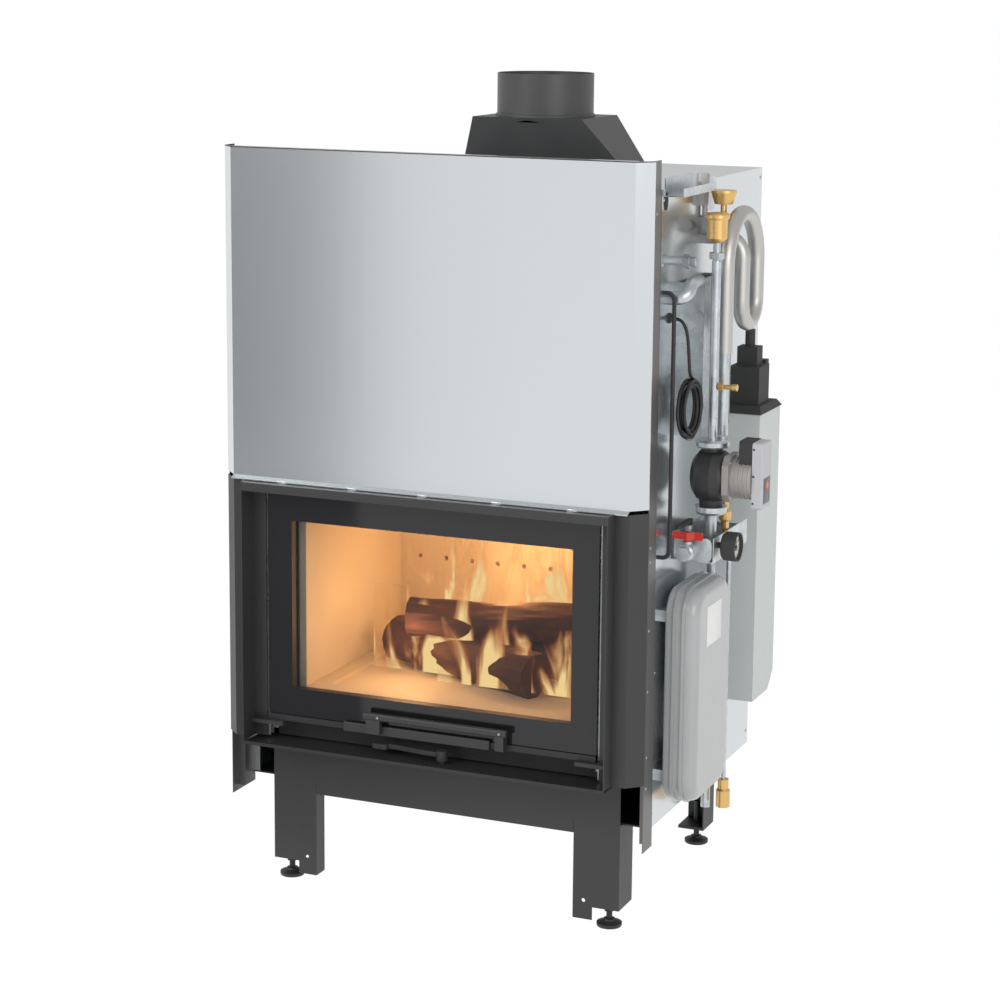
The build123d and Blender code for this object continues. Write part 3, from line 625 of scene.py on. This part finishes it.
@dataclass
class ScrewRow:
    """Pan-head screws with a round recess where the cross slot would be, all in one piece.

    Attributes:
        name: Name of the piece.
        facing: Direction of the heads.
        places: Seats of the heads, in door-centred millimetres.
        radius: Radius of a head.
        rise: Height of a head.
        finish: Finish of the screws.
        slot: Name of a slot for the finish; not used.
    """

    name: str
    facing: Facing
    places: list
    radius: float = 3.6
    rise: float = 1.4
    finish: Finish = TURNED_STEEL
    slot: str = "bright_steel"

    def build(self, body: Body = Body.STOVE) -> Object:
        """Build the heads.

        Args:
            body: Body that the screws ride on.

        Returns:
            The piece with all heads.
        """
        form = bmesh.new()
        r, h = self.radius, self.rise
        dome = [(0, -0.2), (r, -0.2), (r, 0.4 * h), (0.86 * r, 0.8 * h), (0.5 * r, h)]
        head = dome + [(0.32 * r, 0.5 * h), (0, 0.5 * h)]
        for spot in self.places:
            add_turned(form, head, place(*spot), self.facing, 16)
        return settle(object_of(self.name, form), self.finish, body)


@dataclass
class Cover:
    """Trims of the folded front cover and its side rails.

    Attributes:
        half: Half width of the cover's flat face.
        side: Half width of the cover over its chamfered sides.
        chamfer: Depth of the chamfered sides.
        top: Height of the cover's top edge.
        tab_places: Middles of the hanging tabs along the lower edge.
        tab_half: Half width of a tab.
        tab_depth: Depth of a tab's front and back.
        tab_height: Height of a tab's lower and upper end.
        rail_face: Distance of a rail's outer face from the door's middle.
        screw_depth: Depth of the rail's screws.
        screw_heights: Heights of the rail's screws.
        grommet_spot: Depth and height of the grommet in a side panel.
    """

    half: float = 415.0
    side: float = 443.0
    chamfer: float = 28.0
    top: float = 1497.0
    tab_places: tuple = (-303.0, -151.0, -2.0, 152.0, 305.0)
    tab_half: float = 10.0
    tab_depth: tuple = (-12.4, -10.4)
    tab_height: tuple = (839.0, 849.0)
    rail_face: float = 442.0
    screw_depth: float = 42.0
    screw_heights: tuple = (311.0, 372.0, 501.0, 619.0, 751.0, 778.0, 1400.0)
    grommet_spot: tuple = (118.0, 1418.0)

    def build(self) -> None:
        """Build the top edge strip, the tabs, the screws and the grommets."""
        self.top_edge()
        self.tabs()
        for sign, facing, word in SIDES:
            seats = [(sign * self.rail_face, self.screw_depth, z) for z in self.screw_heights]
            ScrewRow(f"rail_screws_{word}", facing, seats, radius=3.0, rise=0.9).build()
            self.grommet(sign, facing, word)

    def top_edge(self) -> None:
        """Dark strip along the cover's top edge, from just proud of its face over the sheet's thickness."""
        low, high = self.top - 2.2, self.top - 0.1
        proud, inside = 0.25, -1.7
        right = [(self.half, 0), (self.side, self.chamfer), (self.side, self.chamfer + 1)]
        points = [(-x, y) for x, y in reversed(right)] + right
        form = bmesh.new()
        rows = []
        for grow, z in ((proud, low), (proud, high), (inside, high), (inside, low)):
            row = []
            for x, y in points:
                reach = 1 if x > 0 else -1
                row.append(form.verts.new(place(x + reach * min(grow, 0), y - grow, z)))
            rows.append(row)
        for first, second in zip(rows, rows[1:] + rows[:1]):
            for i in range(len(points) - 1):
                form.faces.new((first[i], first[i + 1], second[i + 1], second[i]))
        form.faces.new([row[0] for row in rows])
        form.faces.new([row[-1] for row in reversed(rows)])
        settle(object_of("cover_top_strip", form, False), CHARCOAL_PAINT)

    def tabs(self) -> None:
        """Bright tabs that hang below the flared edge and hold it to the head rail."""
        form = bmesh.new()
        front, back = self.tab_depth
        bottom, top = self.tab_height
        for x in self.tab_places:
            low = place(x - self.tab_half, front, bottom)
            high = place(x + self.tab_half, back, top)
            add_slab(form, low, high, 0.5 * MM)
        settle(object_of("cover_tabs", form), SATIN_ZINC)

    def grommet(self, sign: int, facing: Facing, word: str) -> None:
        """Oval rubber grommet in the side panel, near its top front corner.

        Args:
            sign: Side of the insert, 1 for right.
            facing: Direction of the side.
            word: Name of the side.
        """
        form = bmesh.new()
        narrow, tall = 0.8, 1.6
        profile = [(0, 0), (11, 0), (11, 2), (8, 3), (6.5, 1.2), (0, 1.2)]
        add_turned(form, profile, Vector(), facing, 24)
        middle = place(sign * PANEL_FACE, *self.grommet_spot)
        for vertex in form.verts:
            vertex.co = middle + Vector((vertex.co.x, vertex.co.y * narrow, vertex.co.z * tall))
        settle(object_of(f"panel_grommet_{word}", form), CABLE_SHEATH)


@dataclass
class Door:
    """Dressing of the lifting door.

    Attributes:
        half_width: Half width of the glass.
        low: Height of the glass's lower edge.
        high: Height of its upper edge.
        window_half: Half width of the clear window.
        window_low: Lower edge of the clear window.
        window_high: Upper edge of the clear window.
        face: Depth of the glass's front.
        seal_half: Half width and half height of the rope seal.
        seal_corner: Corner radius of the rope seal.
        seal_depth: Depth of the rope's middle.
        screw_seats: Seats of the handle's screws.
    """

    half_width: float = 350.0
    low: float = 370.0
    high: float = 825.0
    window_half: float = 297.0
    window_low: float = 426.0
    window_high: float = 766.0
    face: float = 18.0
    seal_half: tuple = (321.0, 193.0)
    seal_corner: float = 14.0
    seal_depth: float = 44.6
    screw_seats: tuple = ((-99, -6, 395), (159, -6, 395))

    def build(self) -> None:
        """Build the printed border, the seal and the small screws."""
        glass_z = (self.low + self.high) / 2
        window_z = (self.window_low + self.window_high) / 2
        outer = rounded_rectangle(self.half_width, (self.high - self.low) / 2, 2)
        inner = rounded_rectangle(self.window_half, (self.window_high - self.window_low) / 2, 3)
        depth = self.face - 0.15
        outside = [place(x, depth, glass_z + z) for x, z in outer]
        inside = [place(x, depth, window_z + z) for x, z in inner]
        border = outline_plate("glass_border", outside, inside, Vector((0, 0.12 * MM, 0)))
        settle(border, PRINTED_BORDER, Body.DOOR)
        self.seal(window_z)
        ScrewRow("handle_screws", Facing.FRONT, list(self.screw_seats), 2.6).build(Body.DOOR)

    def seal(self, middle: float) -> None:
        """Rope seal on the back of the door frame, round the window.

        Args:
            middle: Height of the window's middle.
        """
        outline = rounded_rectangle(*self.seal_half, self.seal_corner)
        line = [place(x, self.seal_depth, middle + z) for x, z in outline]
        piece = tube("door_seal", "POLY", line, 2.4, 3)
        piece.data.splines[0].use_cyclic_u = True
        settle(piece, SEAL_ROPE, Body.DOOR)


@dataclass
class Gauge:
    """Dial of the pressure gauge.

    Attributes:
        middle: Depth and height of the gauge's axis.
        face: Distance of the dial from the door's middle.
        radius: Radius of the dial.
        marks: Ticks round the dial.
        sweep: Degrees from the dial's top to its first and to its last tick.
        tick_end: Outer radius of the ticks.
        number_reach: Radius at which the numbers stand.
    """

    middle: tuple = (213.0, 756.0)
    face: float = 552.0
    radius: float = 24.6
    marks: int = 9
    sweep: float = 120.0
    tick_end: float = 22.5
    number_reach: float = 13.2

    def spot(self, angle: float, radius: float, lift: float) -> Vector:
        """Point on the dial.

        Args:
            angle: Degrees clockwise from the top, as the reader sees it.
            radius: Distance from the axis.
            lift: Height above the dial.

        Returns:
            The point in metres.
        """
        turn = math.radians(angle)
        y, z = self.middle
        return place(self.face + lift, y + radius * math.sin(turn), z + radius * math.cos(turn))

    def build(self) -> None:
        """Build the white dial, its ticks, its numbers and the red mark."""
        y, z = self.middle
        form = bmesh.new()
        r = self.radius
        profile = [(1.9, 0.02), (r, 0.02), (r, 0.8), (r - 0.4, 1.0), (1.9, 1.0), (1.9, 0.02)]
        add_turned(form, profile, place(self.face, y, z), Facing.RIGHT, 48)
        settle(object_of("gauge_dial", form), WHITE_LABEL)
        ticks = bmesh.new()
        for mark in range(self.marks):
            angle = -self.sweep + 2 * self.sweep * mark / (self.marks - 1)
            long = 5.5 if mark % 2 == 0 else 3.2
            self.add_tick(ticks, angle, self.tick_end - long, self.tick_end, 0.55)
        settle(object_of("gauge_ticks", ticks, False), BLACK_PLASTIC)
        red = bmesh.new()
        self.add_tick(red, angle=66, start=14, end=23.5, half=1.1)
        settle(object_of("gauge_red_mark", red, False), RED_PLASTIC)
        for number in range(5):
            self.numeral(number, -self.sweep + self.sweep / 2 * number)

    def add_tick(self, form: BMesh, angle: float, start: float, end: float, half: float) -> None:
        """Add one thin raised bar along a radius.

        Args:
            form: Bmesh that takes the bar.
            angle: Direction in degrees from the top.
            start: Inner radius.
            end: Outer radius.
            half: Half width.
        """
        spread = math.degrees(half / end)
        corners = []
        for lift in (1.0, 1.25):
            for side, radius in ((-spread, start), (spread, start), (spread, end), (-spread, end)):
                corners.append(form.verts.new(self.spot(angle + side, radius, lift)))
        low, high = corners[:4], corners[4:]
        form.faces.new(low)
        form.faces.new(high)
        for i in range(4):
            j = (i + 1) % 4
            form.faces.new((low[i], low[j], high[j], high[i]))

    def numeral(self, number: int, angle: float) -> None:
        """Plain number beside a long tick.

        Args:
            number: Digit that it shows.
            angle: Direction in degrees from the top.
        """
        text = bpy.data.curves.new(f"gauge_number_{number}", "FONT")
        text.body = str(number)
        text.size = 5.5 * MM
        text.align_x = "CENTER"
        text.align_y = "CENTER"
        text.extrude = 0.1 * MM
        piece = linked(f"gauge_number_{number}", text)
        piece.location = self.spot(angle, self.number_reach, 1.1)
        piece.rotation_euler = (math.radians(90), 0, math.radians(90))
        settle(piece, BLACK_PLASTIC)


@dataclass
class PumpFace:
    """Operating field of the pump's control housing.

    Attributes:
        face: Distance of the housing's face from the door's middle.
        y: Depth limits of the dark field.
        z: Height limits of the dark field.
        knob: Depth and height of the knob's middle.
        screw_heights: Heights of the housing's screws.
        axis: Depth and height of the motor's axis.
        flange: Distance of the motor's flange from the door's middle.
        bolt_reach: Distance of the flange's bolts from the axis, each way.
    """

    face: float = 605.0
    y: tuple = (215.0, 255.0)
    z: tuple = (843.0, 891.0)
    knob: tuple = (240.0, 876.0)
    screw_heights: tuple = (844.0, 896.0, 948.0)
    axis: tuple = (235.0, 887.0)
    flange: float = 542.0
    bolt_reach: float = 32.5

    def build(self) -> None:
        """Build the dark field, its knob, and the screws of the housing and the motor."""
        form = bmesh.new()
        low = place(self.face - 2.5, self.y[0], self.z[0])
        add_slab(form, low, place(self.face - 0.3, self.y[1], self.z[1]), 0.2 * MM)
        settle(object_of("pump_field", form), DARK_FIELD)
        knob = bmesh.new()
        profile = [(0, 0), (7.5, 0), (7.5, 0.2), (6.8, 0.3), (0, 0.3)]
        add_turned(knob, profile, place(self.face - 0.3, *self.knob), Facing.RIGHT)
        settle(object_of("pump_knob", knob), ORANGE_DOT)
        seats = [(self.face - 18, 206, z) for z in self.screw_heights]
        ScrewRow("pump_housing_screws", Facing.FRONT, seats, 2.2, 0.9, BLACK_PLASTIC, "black_plastic").build()
        y, z = self.axis
        corners = [(sy, sz) for sy in (-1, 1) for sz in (-1, 1)]
        bolts = [(self.flange, y + sy * self.bolt_reach, z + sz * self.bolt_reach) for sy, sz in corners]
        ScrewRow("pump_flange_bolts", Facing.RIGHT, bolts).build()


@dataclass
class VesselLabel:
    """Blank label on the flat side of the expansion vessel.

    Attributes:
        face: Distance of the vessel's flat side from the door's middle.
        y: Depth limits of the label.
        z: Height limits of the label.
    """

    face: float = 512.0
    y: tuple = (178.0, 264.0)
    z: tuple = (562.0, 640.0)

    def build(self) -> None:
        """Build the label as a thin sheet with rounded corners."""
        form = bmesh.new()
        low, high = place(self.face, self.y[0], self.z[0]), place(self.face + 0.3, self.y[1], self.z[1])
        add_slab(form, low, high, 0.1 * MM)
        settle(object_of("vessel_label", form), WHITE_LABEL)


@dataclass
class SensorCable:
    """Black cable from its gland down to a tied coil.

    Attributes:
        route: Points of the free stretch, in door-centred millimetres.
        middle: Centre of the coil.
        turns: Turns in the coil.
        step: Points in each turn.
        reach: Radius of the coil.
        spread: Radius of the ring that the turns form within the bundle.
        start: Angle in radians, from the top, at which the cable joins the coil.
        diameter: Cable diameter in millimetres.
        length: Whole length in metres; not used.
    """

    route: tuple = (
        (438, 150, 1196), (454, 150, 1196), (465, 151, 1181), (469, 153, 1160),
        (470, 156, 1136), (471, 158, 1111), (472, 161, 1087),
    )
    middle: tuple = (472.0, 162.0, 1026.0)
    turns: float = 5.5
    step: int = 16
    reach: float = 50.0
    spread: float = 7.2
    start: float = 0.6
    diameter: float = 6.5
    length: float = 1.83

    def points(self) -> list:
        """Work out the control points of the whole cable.

        Each turn lies a sixth of the way round the bundle from the last, so no two share a place.

        Returns:
            Points in metres, from the gland to the end in the coil.
        """
        line = [place(*spot) for spot in self.route]
        x, y, z = self.middle
        for number in range(int(self.turns * self.step) + 1):
            along = number / self.step
            lane = math.pi / 2 + math.pi / 3 * along
            reach = self.reach + self.spread * math.sin(lane)
            angle = self.start + 2 * math.pi * along
            side = x + self.spread * math.cos(lane)
            line.append(place(side, y + reach * math.sin(angle), z + reach * math.cos(angle)))
        return line

    def build(self) -> None:
        """Build the cable, its end connector and its tie."""
        line = self.points()
        lead = tube("sensor_lead", "NURBS", line, self.diameter / 2, 4)
        spline = lead.data.splines[0]
        spline.order_u = 3
        spline.use_endpoint_u = True
        spline.resolution_u = 6
        settle(lead, CABLE_SHEATH)
        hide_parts("sensor_cable", "sensor_cable_coil")
        plug = self.connector(line[-1], line[-1] - line[-2])
        tie = self.tie()

    def connector(self, end: Vector, direction: Vector) -> Object:
        """Small round connector on the cable's end.

        Args:
            end: End of the cable.
            direction: Direction in which the cable arrives.

        Returns:
            The connector.
        """
        form = bmesh.new()
        profile = [(0, -3), (3.5, -3), (3.9, 0), (3.9, 11), (3.0, 12), (3.0, 17), (0, 17)]
        add_turned(form, profile, Vector(), Facing.UP, 20)
        turn = direction.to_track_quat("Z", "Y").to_matrix().to_4x4()
        bmesh.ops.transform(form, matrix=Matrix.Translation(end) @ turn, verts=form.verts)
        return settle(object_of("sensor_plug", form), BLACK_PLASTIC)

    def tie(self) -> Object:
        """Plastic tie round the bundle at the coil's lowest point.

        Returns:
            The tie.
        """
        form = bmesh.new()
        x, y, z = self.middle
        ring = [(10.7, -2), (11.6, -2), (11.6, 2), (10.7, 2), (10.7, -2)]
        add_turned(form, ring, place(x, y, z - self.reach), Facing.FRONT, 28)
        return settle(object_of("cable_tie", form), BLACK_PLASTIC)


@dataclass
class BodyTrim:
    """Weld bead of the flue spigot and screws of the side panels.

    Attributes:
        collar_radius: Outer radius of the flue spigot.
        collar_depth: Depth of its axis.
        hood_top: Height of the hood's top plate.
        screw_depths: Depths of the panel screws.
        screw_heights: Heights of the panel screws.
    """

    collar_radius: float = 100.0
    collar_depth: float = 590.0
    hood_top: float = 1539.0
    screw_depths: tuple = (107.0, 704.0)
    screw_heights: tuple = (240.0, 520.0, 1300.0, 1420.0)

    def build(self) -> None:
        """Build the spigot's weld bead and the screws of the side panels."""
        form = bmesh.new()
        r = self.collar_radius
        bead = [(r - 0.2, 2.8), (r + 3.2, 2.8), (r + 2.4, 4.6), (r - 0.2, 6.0), (r - 0.2, 2.8)]
        add_turned(form, bead, place(0, self.collar_depth, self.hood_top), Facing.UP, 96)
        settle(object_of("collar_weld", form), FLUE_PAINT)
        for sign, facing, word in SIDES:
            seats = [(sign * PANEL_FACE, y, z) for y in self.screw_depths for z in self.screw_heights]
            ScrewRow(f"panel_screws_{word}", facing, seats).build()


def flame_material() -> Material:
    """Build a glowing film whose tongues thin out towards the top.

    Returns:
        The material of the flames.
    """
    made = bpy.data.materials.new("flame")
    made.use_nodes = True
    nodes, link = made.node_tree.nodes, made.node_tree.links.new
    nodes.remove(nodes["Principled BSDF"])
    coords, stretch = nodes.new("ShaderNodeTexCoord"), nodes.new("ShaderNodeMapping")
    wisps = nodes.new("ShaderNodeTexNoise")
    stretch.inputs["Scale"].default_value = (1, 1, 0.32)
    wisps.inputs["Scale"].default_value = 13
    wisps.inputs["Detail"].default_value = 3
    wisps.inputs["Distortion"].default_value = 1.6
    link(coords.outputs["Object"], stretch.inputs["Vector"])
    link(stretch.outputs[0], wisps.inputs["Vector"])
    thinning, crispness = -0.27, 1.4
    parts, fall = nodes.new("ShaderNodeSeparateXYZ"), nodes.new("ShaderNodeMath")
    edge = nodes.new("ShaderNodeMath")
    fall.operation = "MULTIPLY_ADD"
    fall.inputs[1].default_value = thinning
    link(coords.outputs["Generated"], parts.inputs[0])
    link(parts.outputs["Z"], fall.inputs[0])
    link(wisps.outputs["Fac"], fall.inputs[2])
    tongue, ramp = nodes.new("ShaderNodeMapRange"), nodes.new("ShaderNodeValToRGB")
    tongue.inputs["From Min"].default_value = 0.31
    tongue.inputs["From Max"].default_value = 0.50
    link(fall.outputs[0], tongue.inputs["Value"])
    link(tongue.outputs[0], ramp.inputs["Fac"])
    ramp.color_ramp.elements[0].color = (0.9, 0.16, 0.01, 1)
    ramp.color_ramp.elements[1].color = (1.0, 0.72, 0.30, 1)
    edge.operation = "POWER"
    edge.inputs[1].default_value = crispness
    link(tongue.outputs[0], edge.inputs[0])
    glow, mix = nodes.new("ShaderNodeEmission"), nodes.new("ShaderNodeMixShader")
    clear = nodes.new("ShaderNodeBsdfTransparent")
    glow.inputs["Strength"].default_value = 1.35
    link(ramp.outputs["Color"], glow.inputs["Color"])
    link(edge.outputs[0], mix.inputs["Fac"])
    link(clear.outputs[0], mix.inputs[1])
    link(glow.outputs[0], mix.inputs[2])
    link(mix.outputs[0], nodes["Material Output"].inputs["Surface"])
    return made


@dataclass
class Fire:
    """Logs, flames and glow in the firebox, which stage the insert and are no part of it.

    Attributes:
        logs: Start, end and radius of each log, in door-centred millimetres.
        films: Depth, left edge, right edge and top of each film of flames.
        hearth: Height of the films' lower edge.
        glows: Name, place and power in watts of each glow.
    """

    logs: tuple = (
        ((-215, 330, 462), (150, 200, 458), 44),
        ((-90, 380, 466), (262, 300, 462), 46),
        ((-150, 250, 530), (240, 340, 536), 40),
    )
    films: tuple = ((425, -150, 275, 765), (345, -200, 255, 715), (240, -225, 140, 600), (190, -60, 235, 560))
    hearth: float = 424.0
    glows: tuple = (("fire_glow", (40, 330, 610), 3.4), ("ember_glow", (-120, 200, 520), 1.6))

    def build(self) -> None:
        """Build the logs, the flames and the glow."""
        for number, (start, end, radius) in enumerate(self.logs):
            self.log(number, place(*start), place(*end), radius * MM)
        paint = flame_material()
        for number, (depth, left, right, top) in enumerate(self.films):
            form = bmesh.new()
            corners = ((left, self.hearth), (right, self.hearth), (right, top), (left, top))
            form.faces.new([form.verts.new(place(x, depth, z)) for x, z in corners])
            film = object_of(f"studio_flame_{number}", form, False)
            film.visible_shadow = film.visible_glossy = False
            film.data.materials.append(paint)
        for name, spot, power in self.glows:
            data = bpy.data.lights.new(name, "POINT")
            data.energy = power
            data.color = (1.0, 0.55, 0.22)
            data.shadow_soft_size = 0.07
            linked(name, data).location = place(*spot)

    def log(self, number: int, start: Vector, end: Vector, radius: float) -> None:
        """Build one split log with a rough outline.

        Args:
            number: Number in its name.
            start: Middle of its left end.
            end: Middle of its right end.
            radius: Mean radius in metres.
        """
        form = bmesh.new()
        rings, sides = 40, 36
        turn = (end - start).to_track_quat("Z", "Y")
        rows = []
        for ring in range(rings + 1):
            middle = start.lerp(end, ring / rings)
            row = []
            for side in range(sides):
                angle = 2 * math.pi * side / sides
                out = turn @ Vector((math.cos(angle), math.sin(angle), 0))
                lump = noise.noise((middle * 9 + out * 1.1) + Vector((number, 0, 0))) * 0.22
                ridge = noise.noise(middle * 12 + out * 5) * 0.10
                rough = lump + ridge
                row.append(form.verts.new(middle + out * radius * (1 + rough)))
            rows.append(row)
        for first, second in zip(rows, rows[1:]):
            for side in range(sides):
                after = (side + 1) % sides
                form.faces.new((first[side], first[after], second[after], second[side]))
        form.faces.new(rows[0])
        form.faces.new(rows[-1])
        log = object_of(f"studio_log_{number}", form)
        log.data.materials.append(BARK.material())


@dataclass
class Studio:
    """Floor, light and camera.

    Attributes:
        eye: Camera place, in door-centred millimetres.
        yaw: Camera's turn to the left, in degrees.
        pitch: Camera's dip, in degrees.
        roll: Camera's roll, in degrees.
        focal: Focal length in image widths.
        shift: Camera's vertical shift.
        sensor: Width of the camera's sensor.
        lamps: Name, place, size in metres and power in watts of each lamp.
        aim: Place that the lamps shine at.
        floor_radius: Radius of the floor, in metres.
    """

    eye: tuple = (1975.6, -4304.1, 1832.0)
    yaw: float = 22.942
    pitch: float = 10.264
    roll: float = 0.502
    focal: float = 2.5332
    shift: float = -0.07
    sensor: float = 36.0
    lamps: tuple = (("key", (-2400, -3600, 3300), 2.6, 95), ("fill", (3400, -2600, 2400), 2.8, 55))
    aim: tuple = (0.0, 300.0, 800.0)
    floor_radius: float = 190.0

    def build(self) -> None:
        """Build the whole studio."""
        bpy.context.scene.view_settings.view_transform = "Standard"
        self.camera()
        self.world()
        self.floor()
        self.dark_card()
        for lamp in self.lamps:
            self.lamp(*lamp)

    def camera(self) -> None:
        """Place the camera at the photograph's angle."""
        yaw, pitch, roll = (math.radians(v) for v in (self.yaw, self.pitch, self.roll))
        ahead = Vector((-math.sin(yaw) * math.cos(pitch), math.cos(yaw) * math.cos(pitch), -math.sin(pitch)))
        level = Vector((math.cos(yaw), math.sin(yaw), 0))
        above = level.cross(ahead)
        right = level * math.cos(roll) + above * math.sin(roll)
        top = -level * math.sin(roll) + above * math.cos(roll)
        data = bpy.data.cameras.new("camera")
        data.sensor_width = self.sensor
        data.lens = self.focal * self.sensor
        data.shift_y = self.shift
        data.clip_end = 200
        camera = linked("camera", data)
        turn = Matrix((right, top, -ahead)).transposed().to_4x4()
        camera.matrix_world = Matrix.Translation(place(*self.eye)) @ turn
        bpy.context.scene.camera = camera

    def world(self) -> None:
        """White surroundings: full white where seen, softer as light and in reflections."""
        world = bpy.data.worlds.new("studio")
        world.use_nodes = True
        bpy.context.scene.world = world
        nodes, link = world.node_tree.nodes, world.node_tree.links.new
        back = nodes["Background"]
        back.inputs["Color"].default_value = (1, 1, 1, 1)
        rays, strength = nodes.new("ShaderNodeLightPath"), nodes.new("ShaderNodeMapRange")
        strength.inputs["To Min"].default_value = 0.62
        strength.inputs["To Max"].default_value = 1.0
        link(rays.outputs["Is Camera Ray"], strength.inputs["Value"])
        link(strength.outputs["Result"], back.inputs["Strength"])

    def floor(self) -> None:
        """Pale floor that stays white to the camera and in reflections, and keeps the shadow."""
        form = bmesh.new()
        bmesh.ops.create_circle(form, cap_ends=True, segments=96, radius=self.floor_radius)
        floor = object_of("studio_floor", form, False)
        floor.location = (0, 0, -0.0005)
        paint = bpy.data.materials.new("studio_floor")
        paint.use_nodes = True
        nodes, link = paint.node_tree.nodes, paint.node_tree.links.new
        shader = nodes["Principled BSDF"]
        shader.inputs["Base Color"].default_value = (0.93, 0.93, 0.93, 1)
        shader.inputs["Roughness"].default_value = 0.9
        glow, mix = nodes.new("ShaderNodeEmission"), nodes.new("ShaderNodeMixShader")
        rays = nodes.new("ShaderNodeLightPath")
        either, share = nodes.new("ShaderNodeMath"), nodes.new("ShaderNodeMath")
        glow.inputs["Strength"].default_value = 1.04
        either.operation = "MAXIMUM"
        share.operation = "MULTIPLY"
        share.inputs[1].default_value = 0.95
        link(rays.outputs["Is Camera Ray"], either.inputs[0])
        link(rays.outputs["Is Glossy Ray"], either.inputs[1])
        link(either.outputs[0], share.inputs[0])
        link(share.outputs[0], mix.inputs["Fac"])
        link(shader.outputs[0], mix.inputs[1])
        link(glow.outputs[0], mix.inputs[2])
        link(mix.outputs[0], nodes["Material Output"].inputs["Surface"])
        floor.data.materials.append(paint)

    def dark_card(self) -> None:
        """Grey card left of the camera, which only the reflections of bright sheet and glass show."""
        form = bmesh.new()
        left, right, front, low, top = -6000, -2290, -4300, 5, 3600
        near_right, near = -210, -140
        upright = ((left, front, low), (right, front, low), (right, front, top), (left, front, top))
        level = ((left, front, low), (right, front, low), (near_right, near, low), (left, near, low))
        for corners in (upright, level):
            form.faces.new([form.verts.new(place(*corner)) for corner in corners])
        card = object_of("studio_card", form, False)
        card.visible_camera = card.visible_diffuse = card.visible_shadow = False
        card.visible_transmission = False
        card.data.materials.append(CARD_GREY.material())

    def lamp(self, name: str, spot: tuple, size: float, power: float) -> None:
        """Add a soft square lamp that aims at the insert's middle.

        Args:
            name: Name of the lamp.
            spot: Its place, in door-centred millimetres.
            size: Side of the square, in metres.
            power: Power in watts.
        """
        data = bpy.data.lights.new(name, "AREA")
        data.size = size
        data.energy = power
        lamp = linked(name, data)
        lamp.location = place(*spot)
        toward = place(*self.aim) - lamp.location
        lamp.rotation_euler = toward.to_track_quat("-Z", "Y").to_euler()


def main() -> None:
    """Dress the frame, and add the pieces."""
    logging.basicConfig(level=logging.INFO, format="%(message)s")
    Studio().build()
    Fire().build()
    dress_nodes()
    SensorCable().build()
    Cover().build()
    Door().build()
    Gauge().build()
    PumpFace().build()
    VesselLabel().build()
    BodyTrim().build()


if __name__ == "__main__":
    main()
